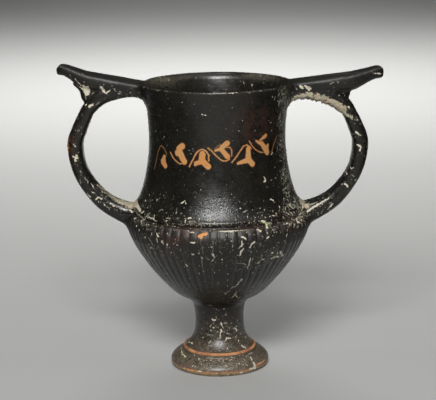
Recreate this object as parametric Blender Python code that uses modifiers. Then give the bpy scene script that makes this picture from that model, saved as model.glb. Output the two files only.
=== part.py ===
"""A black-glaze kantharos: a stemmed drinking cup with a ribbed bowl, a tall flaring neck and
two strap handles that end in spurred thumb rests.

The vessel is one piece of fired clay. It stands on the ground plane, its axis is upright and its
handles lie along X. Every profile is a list of (radius, height) pairs that runs from the ground up.
The right handle reaches out further than the left one, and the middle between their tips is at X = 0.
"""

import math

import bmesh
import bpy

# Heights in metres, stacked from the ground up
FOOT_HEIGHT = 0.0113
STEM_HEIGHT = 0.0257
BOWL_HEIGHT = 0.0540
NECK_HEIGHT = 0.0740

# Diameters in metres
FOOT_DIAMETER = 0.0568
FOOT_RING_DIAMETER = 0.0424
STEM_DIAMETER = 0.0280
BOWL_DIAMETER = 0.1050
NECK_DIAMETER = 0.0774
RIM_DIAMETER = 0.0848

# Clay thicknesses in metres
NECK_WALL = 0.0030
BOWL_WALL = 0.0038
FLOOR_THICKNESS = 0.0085
FLOOR_DISH_SHARE = 0.55
LIP_THICKNESS = 0.0024

# Mouldings of the foot
FOOT_BAND_HEIGHT = 0.0027
FOOT_GROOVE_DEPTH = 0.0005
FOOT_RING_THICKNESS = 0.0013
FOOT_ROUNDNESS = 1.4
FOOT_REST_WIDTH = 0.0071
RECESS_DEPTH = 0.0030

# Ribs, and the ledge and groove between their tops and the shoulder
RIB_COUNT = 60
RIB_DEPTH = 0.0007
RIB_GROOVE_SHARE = 0.25
RIBS_START_SHARE = 0.17
RIB_FADE_SHARE = 0.40
LEDGE_WIDTH = 0.0020
SHOULDER_ROUND = 0.0035
SHOULDER_GROOVE_DEPTH = 0.0005

# Strap handles and their spurs
LEFT_HANDLE_REACH = 0.0849
RIGHT_HANDLE_REACH = 0.0855
STRAP_THICKNESS = 0.0090
STRAP_WIDTH = 0.0145
SPUR_ROOT_WIDTH = 0.0205
SPUR_THICKNESS = 0.0094
SPUR_CHANNEL_DEPTH = 0.0008
LEFT_SPUR_REACH = 0.0897
LEFT_SPUR_RISE = 0.0104
LEFT_SPUR_ROLL = 0.0005
RIGHT_SPUR_REACH = 0.0937
RIGHT_SPUR_RISE = 0.0070
RIGHT_SPUR_ROLL = 0.0010
LEFT_WEB_REACH = 0.0764
RIGHT_WEB_REACH = 0.0750
WEB_THICKNESS = 0.0106
WEB_WIDTH = 0.0125

# Facets
TURNED_STEPS = 48
INSIDE_STEPS = 40
COLUMNS_PER_RIB = 3
STRAP_POINTS = 12
WEB_POINTS = 8
MOULDING_POINTS = 5
CURVE_SAMPLES = 8
OUTSIDE_TOLERANCE = 0.00020
BELT_TOLERANCE = 0.00029
INSIDE_TOLERANCE = 0.00030

# Overlaps that let one shape run into the next
SINK = 0.0002
CLEARANCE = 0.010

BOWL_BOTTOM = FOOT_HEIGHT + STEM_HEIGHT
LEDGE = BOWL_BOTTOM + BOWL_HEIGHT
RIM = LEDGE + NECK_HEIGHT

# Where the neck is narrowest, as a share of its height, and how evenly it flares from there down
NARROWEST_SHARE = 0.59
EVEN_FLARE_SHARE = 0.80
SHOULDER_FLARE_POWER = 10

# The stem's flare ends at this share of its height, and its section is a power curve
STEM_FLARE_SHARE = 0.74
STEM_FLARE_POWER = 4

# How round the corners of a strap's section are: 1 is an ellipse, and less is squarer
STRAP_ROUNDNESS = 0.6

# The bowl's outer curve: share of its height, share of the way from the stem to its widest radius
BOWL_SHAPE = (
    (0.000, 0.028),
    (0.056, 0.109),
    (0.148, 0.322),
    (0.333, 0.565),
    (0.519, 0.760),
    (0.704, 0.917),
    (0.889, 1.000),
    (1.000, 0.948),
)

# The strap's middle line, first from the shoulder out to its furthest point: share of that way,
# share of the way from ledge to rim, and its thickness and width as shares of the plain strap's
LOWER_STRAP_SHAPE = (
    (-0.138, -0.045, 1.50, 1.45),
    (0.216, 0.005, 1.21, 1.15),
    (0.583, 0.109, 1.05, 1.00),
    (0.903, 0.305, 0.94, 1.00),
    (1.000, 0.520, 1.00, 1.00),
)

# The same from just above the furthest point back to the neck
UPPER_STRAP_SHAPE = (
    (0.934, 0.651, 0.96, 1.00),
    (0.856, 0.749, 0.89, 1.00),
    (0.797, 0.809, 0.86, 1.03),
    (0.634, 0.899, 1.02, 1.15),
    (0.430, 0.943, 1.07, 1.22),
    (0.220, 0.950, 0.90, 1.30),
    (-0.080, 0.943, 0.95, 1.35),
)

# The web in the corner between the strap and the spur: share of the way from ledge to rim, and how
# far out its outer edge stands as a share of the web's own reach
WEB_SHAPE = (
    (0.858, 0.975),
    (0.880, 0.992),
    (0.930, 1.004),
    (1.000, 1.060),
)

# The spur's tip rolls up from this share of the way out, and grows thicker by this much of the roll
SPUR_ROLL_START = 0.80
SPUR_ROLL_THICKNESS = 2.2

# The spur from the rim to its tip: share of the way out, then height above the rim, width and
# thickness as shares of its own rise, root width and greatest thickness
SPUR_SHAPE = (
    (-0.08, -0.02, 1.00, 0.60),
    (0.08, 0.10, 1.00, 0.65),
    (0.28, 0.27, 0.98, 0.78),
    (0.50, 0.46, 0.94, 0.95),
    (0.66, 0.62, 0.86, 1.02),
    (0.78, 0.82, 0.73, 0.86),
    (0.90, 0.99, 0.58, 0.60),
    (0.965, 0.96, 0.45, 0.48),
    (1.00, 0.80, 0.24, 0.26),
)

GLAZE_COLOUR = (0.021, 0.019, 0.016, 1.0)
GLAZE_ROUGHNESS = 0.38


def between(before, start, end, after, t):
    """One coordinate on a Catmull-Rom span from start to end."""
    linear = (end - before) * t
    square = (2 * before - 5 * start + 4 * end - after) * t**2
    cube = (3 * (start - end) + after - before) * t**3
    return 0.5 * (2 * start + linear + square + cube)


def smooth_curve(points, spans=2):
    """Points of any dimension on a smooth curve through the given ones."""
    first = tuple(2 * a - b for a, b in zip(points[0], points[1]))
    last = tuple(2 * a - b for a, b in zip(points[-1], points[-2]))
    padded = [first, *points, last]
    curve = []
    for corners in zip(padded, padded[1:], padded[2:], padded[3:]):
        for step in range(spans):
            curve.append(tuple(between(*values, step / spans) for values in zip(*corners)))
    curve.append(tuple(points[-1]))
    return curve


def thinned(points, tolerance):
    """Leaves out the points that lie nearly on the straight line between those it keeps."""
    (r0, z0), (r1, z1) = points[0], points[-1]
    run = math.hypot(r1 - r0, z1 - z0)
    gaps = [abs((r1 - r0) * (z0 - z) - (r0 - r) * (z1 - z0)) / run for r, z in points[1:-1]]
    if not gaps or max(gaps) < tolerance:
        return [points[0], points[-1]]
    middle = gaps.index(max(gaps)) + 1
    return thinned(points[: middle + 1], tolerance)[:-1] + thinned(points[middle:], tolerance)


def bowl_curve():
    """The bowl's outside from the top of the stem to the ledge."""
    stem = STEM_DIAMETER / 2
    swell = BOWL_DIAMETER / 2 - stem
    return [
        (stem + share * swell, BOWL_BOTTOM + height * BOWL_HEIGHT)
        for height, share in smooth_curve(BOWL_SHAPE, CURVE_SAMPLES)
    ]


def shoulder_radius():
    """The shoulder stands back from the ledge at the top of the bowl."""
    return bowl_curve()[-1][0] - LEDGE_WIDTH


def radius_on(curve, height):
    """The radius of a profile at a height, on the straight line between its points."""
    for (low_radius, low), (high_radius, high) in zip(curve, curve[1:]):
        if low <= height <= high:
            return low_radius + (high_radius - low_radius) * (height - low) / (high - low)
    return curve[-1][0]


def foot_profile():
    """Resting edge, band, groove, rounded moulding, groove and the reserved ring."""
    edge = FOOT_DIAMETER / 2
    ring = FOOT_RING_DIAMETER / 2
    chamfer = FOOT_BAND_HEIGHT / 4
    groove = FOOT_GROOVE_DEPTH
    ring_bottom = FOOT_HEIGHT - FOOT_RING_THICKNESS
    profile = [(edge - 2 * chamfer, 0.0), (edge - chamfer / 2, chamfer)]
    profile += [(edge, FOOT_BAND_HEIGHT - groove), (edge - groove, FOOT_BAND_HEIGHT)]
    top_radius = ring + 2 * groove
    top_height = ring_bottom - 3 * groove
    base = FOOT_BAND_HEIGHT + groove
    for step in range(MOULDING_POINTS):
        turn = math.radians(90) * step / (MOULDING_POINTS - 1)
        radius = top_radius + (edge - top_radius) * math.cos(turn) ** FOOT_ROUNDNESS
        profile.append((radius, base + (top_height - base) * math.sin(turn) ** FOOT_ROUNDNESS))
    profile.append((ring - groove / 2, top_height))
    profile.append((ring, ring_bottom + FOOT_RING_THICKNESS / 2))
    profile.append((ring - groove, FOOT_HEIGHT))
    return profile


def stem_profile(steps=28):
    """The concave flare from the ring on the foot to the narrow top of the stem."""
    stem = STEM_DIAMETER / 2
    start = FOOT_RING_DIAMETER / 2 - 2 * FOOT_GROOVE_DEPTH
    profile = []
    for step in range(steps):
        share = step / steps
        radius = stem + (start - stem) * (1 - share) ** STEM_FLARE_POWER
        profile.append((radius, FOOT_HEIGHT + STEM_FLARE_SHARE * share * STEM_HEIGHT))
    return profile


def neck_profile(steps=24):
    """Groove over the ledge, rounded shoulder, concave neck and flaring rim."""
    shoulder = shoulder_radius()
    neck = NECK_DIAMETER / 2
    groove_height = LEDGE + SHOULDER_ROUND / 3
    flare_start = LEDGE + SHOULDER_ROUND
    narrowest = LEDGE + NARROWEST_SHARE * NECK_HEIGHT
    profile = [(shoulder - SHOULDER_GROOVE_DEPTH, groove_height)]
    profile.append((shoulder + SHOULDER_GROOVE_DEPTH / 2, (groove_height + flare_start) / 2))
    for step in range(steps):
        share = 1 - step / steps
        flare = EVEN_FLARE_SHARE * share**2 + (1 - EVEN_FLARE_SHARE) * share**SHOULDER_FLARE_POWER
        profile.append((neck + (shoulder - neck) * flare, narrowest - share * (narrowest - flare_start)))
    lip_bottom = RIM - LIP_THICKNESS / 3
    rim = RIM_DIAMETER / 2
    for step in range(steps):
        share = step / (steps - 1)
        profile.append((neck + (rim - neck) * share**2, narrowest + share * (lip_bottom - narrowest)))
    return profile


def body_profile():
    """The whole outside. Behind the ribbed belt it runs a little under the belt's surface."""
    bowl = bowl_curve()
    belt_start = BOWL_BOTTOM + RIBS_START_SHARE * BOWL_HEIGHT
    core_inset = RIB_DEPTH + 3 * SINK
    flare = stem_profile()
    flare += [(radius - SINK, height) for radius, height in bowl if height < belt_start]
    profile = foot_profile() + thinned(flare, OUTSIDE_TOLERANCE)
    tuck = belt_start + 3 * SINK
    profile.append((radius_on(bowl, tuck) - SINK, tuck))
    profile.append((radius_on(bowl, belt_start) - core_inset - 2 * SINK, tuck + SINK))
    core = [(radius - core_inset, height) for radius, height in bowl[:-1] if height > tuck + core_inset]
    profile += thinned(core, core_inset / 2)
    profile.append((shoulder_radius() - SHOULDER_GROOVE_DEPTH, LEDGE - core_inset))
    profile += thinned(neck_profile(), OUTSIDE_TOLERANCE)
    profile.append((RIM_DIAMETER / 2 - LIP_THICKNESS / 2, RIM))
    return [(0.0, 0.0), *profile, (0.0, RIM)]


def belt_profile():
    bowl = bowl_curve()
    belt_start = BOWL_BOTTOM + RIBS_START_SHARE * BOWL_HEIGHT
    profile = [(radius_on(bowl, belt_start), belt_start)]
    profile += [point for point in bowl if point[1] > belt_start + RIB_DEPTH]
    return thinned(profile, BELT_TOLERANCE)


def inside_profile():
    """The hollow from its floor to above the rim, at each wall's own thickness."""
    floor = BOWL_BOTTOM + FLOOR_THICKNESS
    bowl = bowl_curve()
    wall = []
    for (r0, z0), (r1, z1), (r2, z2) in zip(bowl, bowl[1:], bowl[2:]):
        run = math.hypot(r2 - r0, z2 - z0)
        inner = (r1 - BOWL_WALL * (z2 - z0) / run, z1 + BOWL_WALL * (r2 - r0) / run)
        if inner[1] > floor + BOWL_WALL / 3 and inner[1] < LEDGE - BOWL_WALL / 3:
            wall.append(inner)
    dished_radius = FLOOR_DISH_SHARE * wall[0][0]
    side = [(dished_radius, floor + FLOOR_DISH_SHARE**3 * (wall[0][1] - floor)), *wall]
    side.append((shoulder_radius() - NECK_WALL, LEDGE + SHOULDER_ROUND / 2))
    side += [(radius - NECK_WALL, height) for radius, height in neck_profile()[3:-1]]
    lip = RIM_DIAMETER / 2
    side.append((lip - LIP_THICKNESS, RIM - LIP_THICKNESS / 2))
    mouth = lip - LIP_THICKNESS / 2 - SINK
    above = RIM + max(LEFT_SPUR_RISE, RIGHT_SPUR_RISE) + CLEARANCE
    return [(0.0, floor), *thinned(side, INSIDE_TOLERANCE), (mouth, RIM), (mouth, above), (0.0, above)]


def recess_profile():
    """The shallow hollow scraped out under the foot."""
    edge = FOOT_DIAMETER / 2 - FOOT_BAND_HEIGHT / 2 - FOOT_REST_WIDTH
    profile = [(0.0, -RECESS_DEPTH), (edge, -RECESS_DEPTH), (edge, RECESS_DEPTH / 6)]
    return profile + [(0.8 * edge, 0.8 * RECESS_DEPTH), (0.0, RECESS_DEPTH)]


def collection_named(name):
    collection = bpy.data.collections.new(name)
    bpy.context.scene.collection.children.link(collection)
    return collection


def add_object(name, mesh, collection):
    thing = bpy.data.objects.new(name, mesh)
    collection.objects.link(thing)
    return thing


def hide_helper(thing):
    thing.hide_render = True
    thing.display_type = "WIRE"
    return thing


def turned(name, profile, steps, collection):
    """A profile from the ground up, turned about Z by a Screw modifier."""
    mesh = bpy.data.meshes.new(name)
    points = [(radius, 0.0, height) for radius, height in reversed(profile)]
    mesh.from_pydata(points, [(i, i + 1) for i in range(len(points) - 1)], [])
    thing = add_object(name, mesh, collection)
    screw = thing.modifiers.new("turn", "SCREW")
    screw.steps = steps
    screw.render_steps = steps
    screw.use_merge_vertices = True
    screw.merge_threshold = 0.00001
    screw.use_smooth_shade = True
    return thing


def baked(thing):
    """Replaces an object's mesh by what its modifiers make."""
    graph = bpy.context.evaluated_depsgraph_get()
    mesh = bpy.data.meshes.new_from_object(thing.evaluated_get(graph))
    thing.modifiers.clear()
    thing.data = mesh
    return thing


def smooth_step(share):
    """Runs from 0 to 1 with level ends."""
    share = min(1.0, max(0.0, share))
    return share * share * (3 - 2 * share)


def rib_depth(height):
    """Full at the ledge, and fading out on the lower bowl where the ribs are worn away."""
    start = BOWL_BOTTOM + RIBS_START_SHARE * BOWL_HEIGHT
    return RIB_DEPTH * smooth_step((height - start) / (RIB_FADE_SHARE * BOWL_HEIGHT))


def make_ribbed_belt(collection):
    """The bowl's ribbed belt: turned, capped, and then grooved between the ribs."""
    belt = turned("ribbed_belt", belt_profile(), RIB_COUNT * COLUMNS_PER_RIB, collection)
    belt = hide_helper(baked(belt))
    pitch = math.tau / RIB_COUNT
    shape = bmesh.new()
    shape.from_mesh(belt.data)
    for vertex in shape.verts:
        radius = math.hypot(vertex.co.x, vertex.co.y)
        column = round(math.atan2(vertex.co.y, vertex.co.x) / pitch * COLUMNS_PER_RIB)
        rib, place = divmod(column, COLUMNS_PER_RIB)
        depth = rib_depth(vertex.co.z) if place == 0 else 0.0
        shift = (0.0, RIB_GROOVE_SHARE, 1 - RIB_GROOVE_SHARE)[place]
        angle = (rib + shift) * pitch
        vertex.co.x = (radius - depth) * math.cos(angle)
        vertex.co.y = (radius - depth) * math.sin(angle)
    bmesh.ops.holes_fill(shape, edges=shape.edges)
    bmesh.ops.recalc_face_normals(shape, faces=shape.faces)
    shape.to_mesh(belt.data)
    shape.free()
    return belt


def lofted(name, rings, collection):
    """One closed skin over rings of as many points each, with a cap at both ends."""
    shape = bmesh.new()
    loops = [[shape.verts.new(point) for point in ring] for ring in rings]
    for low, high in zip(loops, loops[1:]):
        for i in range(len(low)):
            shape.faces.new((low[i - 1], low[i], high[i], high[i - 1]))
    shape.faces.new(loops[0])
    shape.faces.new(loops[-1])
    bmesh.ops.recalc_face_normals(shape, faces=shape.faces)
    mesh = bpy.data.meshes.new(name)
    shape.to_mesh(mesh)
    shape.free()
    return hide_helper(add_object(name, mesh, collection))


def strap_line(reach):
    """The strap's middle line as (x, z, thickness, width), from inside the shoulder to the neck."""
    furthest = reach - STRAP_THICKNESS / 2
    stations = []
    for root, shape in ((shoulder_radius(), LOWER_STRAP_SHAPE), (NECK_DIAMETER / 2, UPPER_STRAP_SHAPE)):
        for share, height, thickness, width in shape:
            x = root + share * (furthest - root)
            z = LEDGE + height * NECK_HEIGHT
            stations.append((x, z, thickness * STRAP_THICKNESS, width * STRAP_WIDTH))
    return smooth_curve(stations)


def strap_rings(side, reach):
    """Rounded oblong sections across the strap's middle line, square to its run."""
    line = strap_line(reach)
    rings = []
    for i, (x, z, thickness, width) in enumerate(line):
        before = line[max(i - 1, 0)]
        after = line[min(i + 1, len(line) - 1)]
        run = math.hypot(after[0] - before[0], after[1] - before[1])
        across = ((after[1] - before[1]) / run, (before[0] - after[0]) / run)
        ring = []
        for step in range(STRAP_POINTS):
            turn = math.tau * (step + 0.5) / STRAP_POINTS
            t = rounded(math.cos(turn)) * thickness / 2
            w = rounded(math.sin(turn)) * width / 2
            ring.append((side * (x + across[0] * t), w, z + across[1] * t))
        rings.append(ring)
    return rings


def rounded(share):
    return math.copysign(abs(share) ** STRAP_ROUNDNESS, share)


def web_rings(side, reach):
    """Level oblong sections that fill the corner. Their outer edge stands nearly upright."""
    rings = []
    for height, share in WEB_SHAPE:
        ring = []
        for step in range(WEB_POINTS):
            turn = math.tau * (step + 0.5) / WEB_POINTS
            out = reach * share + (rounded(math.cos(turn)) - 1) * WEB_THICKNESS / 2
            ring.append((side * out, rounded(math.sin(turn)) * WEB_WIDTH / 2, LEDGE + height * NECK_HEIGHT))
        rings.append(ring)
    return rings


def spur_rings(side, reach, rise, tip_roll):
    """Sections of the thumb rest: a channelled top and a narrower keel below."""
    rim = RIM_DIAMETER / 2
    rings = []
    for share, height, width_share, thickness_share in SPUR_SHAPE:
        x = side * (rim + share * (reach - rim))
        roll = tip_roll * smooth_step((share - SPUR_ROLL_START) / (1 - SPUR_ROLL_START))
        top = RIM + height * rise + roll
        half = SPUR_ROOT_WIDTH / 2 * width_share
        thickness = SPUR_THICKNESS * thickness_share + SPUR_ROLL_THICKNESS * roll
        channel = SPUR_CHANNEL_DEPTH * width_share
        edge = min(thickness / 2, SPUR_THICKNESS / 4)
        section = [(-0.96, -channel / 2), (-0.72, 0.0), (0.0, -channel), (0.72, 0.0), (0.96, -channel / 2)]
        section += [(1.0, -edge), (0.86, -0.75 * thickness), (0.5, -thickness)]
        section += [(-0.5, -thickness), (-0.86, -0.75 * thickness), (-1.0, -edge)]
        rings.append([(x, half * across, top + down) for across, down in section])
    return rings


def add_boolean(thing, other, operation):
    modifier = thing.modifiers.new(f"{operation.lower()} {other.name}", "BOOLEAN")
    modifier.object = other
    modifier.operation = operation
    modifier.solver = "EXACT"


def glaze_material():
    material = bpy.data.materials.new("black_glaze")
    material.use_nodes = True
    shader = material.node_tree.nodes["Principled BSDF"]
    shader.inputs["Base Color"].default_value = GLAZE_COLOUR
    shader.inputs["Roughness"].default_value = GLAZE_ROUGHNESS
    shader.inputs["Metallic"].default_value = 0.0
    return material


def make_kantharos():
    vessel_collection = collection_named("black_glaze_kantharos")
    helpers = collection_named("cutters")
    vessel = turned("kantharos", body_profile(), TURNED_STEPS, vessel_collection)
    belt = make_ribbed_belt(helpers)
    left_strap = lofted("left_strap", strap_rings(-1, LEFT_HANDLE_REACH), helpers)
    right_strap = lofted("right_strap", strap_rings(1, RIGHT_HANDLE_REACH), helpers)
    left_web = lofted("left_web", web_rings(-1, LEFT_WEB_REACH), helpers)
    right_web = lofted("right_web", web_rings(1, RIGHT_WEB_REACH), helpers)
    left_rings = spur_rings(-1, LEFT_SPUR_REACH, LEFT_SPUR_RISE, LEFT_SPUR_ROLL)
    right_rings = spur_rings(1, RIGHT_SPUR_REACH, RIGHT_SPUR_RISE, RIGHT_SPUR_ROLL)
    left_spur = lofted("left_spur", left_rings, helpers)
    right_spur = lofted("right_spur", right_rings, helpers)
    inside = hide_helper(turned("inside", inside_profile(), INSIDE_STEPS, helpers))
    recess = hide_helper(turned("recess", recess_profile(), INSIDE_STEPS, helpers))
    for shape in (belt, left_spur, right_spur, left_web, right_web, left_strap, right_strap):
        shape.parent = vessel
        add_boolean(vessel, shape, "UNION")
    for hollow in (inside, recess):
        hollow.parent = vessel
        add_boolean(vessel, hollow, "DIFFERENCE")
    vessel.location.x = (LEFT_SPUR_REACH - RIGHT_SPUR_REACH) / 2
    vessel.data.materials.append(glaze_material())


def clear_scene():
    for thing in list(bpy.data.objects):
        bpy.data.objects.remove(thing, do_unlink=True)


clear_scene()
make_kantharos()
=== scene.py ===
"""The looks of a black-glaze kantharos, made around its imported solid.

Lengths are in millimetres until a mesh is made. The vessel's own axis stands at AXIS_X, its front
with the ivy garland faces -Y and its handles lie along X. A place that was read from the photograph
is a pixel of it, in a frame of 436 by 400, and is found on the vessel by a ray from the camera.
"""

import math

import bpy
import numpy as np
from mathutils import Euler, Matrix, Vector, noise
from mathutils.bvhtree import BVHTree
from mathutils.kdtree import KDTree


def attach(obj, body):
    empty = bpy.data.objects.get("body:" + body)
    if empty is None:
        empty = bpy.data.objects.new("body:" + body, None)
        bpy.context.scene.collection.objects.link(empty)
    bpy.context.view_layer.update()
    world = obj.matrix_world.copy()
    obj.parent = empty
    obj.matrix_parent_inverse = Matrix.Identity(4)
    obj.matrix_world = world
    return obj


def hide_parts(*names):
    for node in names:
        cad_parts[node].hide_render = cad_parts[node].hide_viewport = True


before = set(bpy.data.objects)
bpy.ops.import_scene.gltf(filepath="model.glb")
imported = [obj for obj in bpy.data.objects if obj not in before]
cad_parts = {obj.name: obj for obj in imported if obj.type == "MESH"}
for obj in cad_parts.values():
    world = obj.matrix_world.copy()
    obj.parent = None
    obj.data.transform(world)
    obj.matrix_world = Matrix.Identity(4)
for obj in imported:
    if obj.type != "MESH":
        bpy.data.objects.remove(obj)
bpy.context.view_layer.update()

MM = 0.001

# Heights, stacked from the ground up
FOOT_HEIGHT = 11.3
STEM_HEIGHT = 25.7
BOWL_HEIGHT = 54.0
NECK_HEIGHT = 74.0

# Diameters
FOOT_DIAMETER = 56.8
FOOT_RING_DIAMETER = 42.4
STEM_DIAMETER = 28.0
BOWL_DIAMETER = 105.0
NECK_DIAMETER = 77.4
RIM_DIAMETER = 84.8

# Clay thicknesses
NECK_WALL = 3.0
BOWL_WALL = 3.8
FLOOR_THICKNESS = 8.5
LIP_THICKNESS = 2.4

# The foot's mouldings, the hollow under it and the flare of the stem
FOOT_BAND_HEIGHT = 2.7
FOOT_GROOVE_DEPTH = 0.5
FOOT_RING_THICKNESS = 1.3
FOOT_ROUNDNESS = 1.4
FOOT_REST_WIDTH = 7.1
RECESS_DEPTH = 3.0
RECESS_DISH_SHARE = 0.8
RECESS_EDGE = 0.3
STEM_FLARE_SHARE = 0.74
STEM_FLARE_POWER = 4

# The dish of the floor inside, as shares of the radius and height of the wall's lower end
DISH_RADIUS_SHARE = 0.55
DISH_HEIGHT_SHARE = 0.12

# Ribs, ledge and shoulder
RIB_COUNT = 60
RIB_DEPTH = 0.75
RIBS_START_SHARE = 0.17
RIB_FADE_SHARE = 0.40
RIB_ROUND_SHARE = 0.2
GROOVE_HALF_WIDTH = 0.2
GROOVE_POWER = 1.3
GROOVE_LEAST = 0.65
GROOVE_SPREAD = 0.5
STEADY_RANDOM = (127.1, 11.7, 43758.5453)
LEDGE_WIDTH = 2.0
LEDGE_SLOPE = 0.25
SHOULDER_ROUND = 3.5
SHOULDER_GROOVE_DEPTH = 0.5
NARROWEST_SHARE = 0.59
EVEN_FLARE_SHARE = 0.80
SHOULDER_FLARE_POWER = 10

# How far corners are rounded off, and the largest share of a side that a corner takes
FOOT_CORNER = 0.35
LEDGE_CORNER = 0.4
LIP_CORNER = 0.5
CORNER_SHARE = 0.45

# Handles, -1 for the left and 1 for the right: reach from the vessel's axis, and their sections
HANDLE_REACH = {-1: 84.9, 1: 85.5}
SPUR_REACH = {-1: 89.7, 1: 93.7}
SPUR_RISE = {-1: 10.4, 1: 7.0}
SPUR_ROLL = {-1: 0.5, 1: 1.0}
STRAP_THICKNESS = 9.0
STRAP_WIDTH = 14.5
STRAP_ROUNDNESS = 0.6

# The spur's root, the roll at its tip, and its section as shares of its half width or thickness
SPUR_ROOT_WIDTH = 20.5
SPUR_THICKNESS = 9.4
SPUR_CHANNEL_DEPTH = 1.1
SPUR_ROLL_START = 0.80
SPUR_ROLL_THICKENING = 2.2
SPUR_FLAT_SHARE = 0.96
SPUR_LIP = (0.80, 0.96)
SPUR_LIP_DROP = 0.6
SPUR_CHANNEL = (0.25, 0.72)
SPUR_KEEL = (0.95, 0.86, 0.5)
SPUR_KEEL_DROP = 0.78

BOWL_BOTTOM = FOOT_HEIGHT + STEM_HEIGHT
LEDGE = BOWL_BOTTOM + BOWL_HEIGHT
RIM = LEDGE + NECK_HEIGHT
BELT_START = BOWL_BOTTOM + RIBS_START_SHARE * BOWL_HEIGHT
AXIS_X = (SPUR_REACH[-1] - SPUR_REACH[1]) / 2

# How finely the mesh is made: columns about the axis, rows along the profile, the handles' sections
COLUMNS = 240
RIB_COLUMNS = (-0.25, -0.10, 0.0, 0.10, 0.25, 0.375, 0.5, 0.625)
ROW_SPACING = 1.2
FINE_SPACING = 0.5
INSIDE_SPACING = 2.4
UNDER_SPACING = 2.2
CLOSEST_ROWS = 0.1
CORNER_POINTS = 5
MOULDING_STEPS = 16
STEM_POINTS = 40
NECK_STEPS = 60
NECK_INSIDE = slice(6, -2)
STRAP_POINTS = 32
WEB_POINTS = 24
SPUR_TOP_POINTS = 13
HANDLE_GRID = 0.76
HANDLE_SMOOTHING = 6

# The solid that cuts the handles off inside the wall: its growth into the wall, its height over the rim
CORE_GROWTH = 0.45 * NECK_WALL
CORE_MOUTH_GROWTH = 0.4
CORE_OVERSHOOT = 30.0
CORE_COLUMNS = 120

# Fillets between body and handles: reach at the lower and upper roots, and how far from ledge and
# rim the reach changes from one to the other
LOWER_FILLET = 3.6
UPPER_FILLET = 6.0
FILLET_CHANGE = (15, 25)

# How far around a point a surface is looked for, and the distance given where none is found
GAP_REACH = 12.0
FAR = 50.0

# Where fillets are looked for, and how much a face may look up before it takes no fillet
JOINT_HALF_WIDTH = 26
JOINT_DROP = 20
JOINT_RADIUS = 64
FACING_UP = (0.3, 0.8)

# Joints smoothed at the end: distance from the axis, height, and where the smoothing fades out
JOINTS = (
    (48.0, 97.0, 13, 19),
    (42.0, 160.0, 11, 16),
)
JOINT_SMOOTHING = 6

# The photograph's frame and the camera that fits it
PHOTO_WIDTH = 436
PHOTO_HEIGHT = 400
FOCAL_PIXELS = 1450
CAMERA_TILT = math.radians(12.67)
CAMERA_ROLL = math.radians(0.7)
RIM_SIGHT = math.radians(8)
FLOOR_SIGHT = math.radians(19)
CAMERA_DISTANCE = RIM / (math.tan(FLOOR_SIGHT) - math.tan(RIM_SIGHT))
CAMERA_PLACE = (0.0, -CAMERA_DISTANCE, CAMERA_DISTANCE * math.tan(FLOOR_SIGHT))

# The floor has a painted pool of light: pale along a strip that widens to the back and the front, and
# painted shade beside it, in metres
FLOOR_REACH = 6.0
FLOOR_GREY = (0.40, 0.40, 0.39, 1)
FLOOR_PAINTED_SHADE = (0.030, 0.030, 0.029, 1)
FLOOR_ROUGHNESS = 0.7
STRIP_MIDDLE = -0.25
STRIP_HALF_WIDTH = 0.15
STRIP_WIDENING_BACK = 0.16
STRIP_WIDENING_FRONT = 0.50
STRIP_EDGE = 0.12

# Lamps around the vessel: place, aim and size in metres, and power in watts
LAMPS = {
    "key": ((-0.09, -0.9, 0.85), (0, 0, 0.10), (0.46, 0.30), 16),
    "right": ((0.55, -0.35, 1.1), (0, 0, 0.08), (0.8, 0.8), 1.2),
    "top": ((0.1, 0.7, 1.5), (0, 0, 0.1), (0.9, 0.5), 1.2),
}

# Lamps that only light the floor behind: distance, height, power and spread in degrees
BACKDROP_LAMPS = {
    "backdrop": (1.10, 1.25, 12, 98),
    "far": (2.5, 1.0, 4.0, 180),
}
BACKDROP_LAMP_SIZE = (0.9, 0.6)
WORLD_COLOUR = (0.80, 0.78, 0.74, 1)
WORLD_STRENGTH = 0.045

# The bowl's outer curve: share of its height, share of the way from the stem to its widest radius
BOWL_SHAPE = (
    (0.000, 0.028), (0.056, 0.109), (0.148, 0.322), (0.333, 0.565),
    (0.519, 0.760), (0.704, 0.917), (0.889, 1.000), (1.000, 0.948),
)

# The strap's middle line: share of the way from its root to its furthest point, share of the way
# from ledge to rim, and its thickness and width as shares of the plain strap's
LOWER_STRAP_SHAPE = (
    (-0.138, -0.045, 1.50, 1.45),
    (0.216, 0.005, 1.21, 1.15),
    (0.583, 0.109, 1.05, 1.00),
    (0.903, 0.305, 0.94, 1.00),
    (1.000, 0.520, 1.00, 1.00),
)
UPPER_STRAP_SHAPE = (
    (0.934, 0.651, 0.96, 1.00),
    (0.856, 0.749, 0.89, 1.00),
    (0.797, 0.809, 0.86, 1.03),
    (0.634, 0.899, 1.02, 1.15),
    (0.430, 0.943, 1.07, 1.22),
    (0.220, 0.950, 0.90, 1.30),
    (-0.080, 0.943, 0.95, 1.35),
)

# The web between the strap and the spur: heights above the ledge as shares of the neck's, and how
# far out it stands as a share of its own reach
WEB_REACH = {-1: 76.4, 1: 75.0}
WEB_THICKNESS = 10.6
WEB_WIDTH = 12.5
WEB_SHAPE = (
    (0.858, 0.975), (0.875, 0.990), (0.900, 1.000),
    (0.930, 1.004), (0.960, 1.020), (1.000, 1.060),
)

# The spur: share of the way out from the rim, height above the rim, width and thickness shares
SPUR_SHAPE = (
    (-0.08, -0.02, 1.00, 0.60),
    (0.08, 0.10, 1.00, 0.65),
    (0.28, 0.27, 0.98, 0.78),
    (0.50, 0.46, 0.94, 0.95),
    (0.66, 0.62, 0.86, 1.02),
    (0.78, 0.82, 0.73, 0.86),
    (0.90, 0.99, 0.58, 0.60),
    (0.965, 0.96, 0.45, 0.48),
    (1.00, 0.80, 0.24, 0.26),
)

# Tones of the strokes, as places on one scale of colours
DIM = 0.0
GREY = 0.3
CREAM = 0.6
GREEN = 0.8
CLAY = 1.0
PINK_IVY = 0.6
FULL_IVY = 1.0

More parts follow.
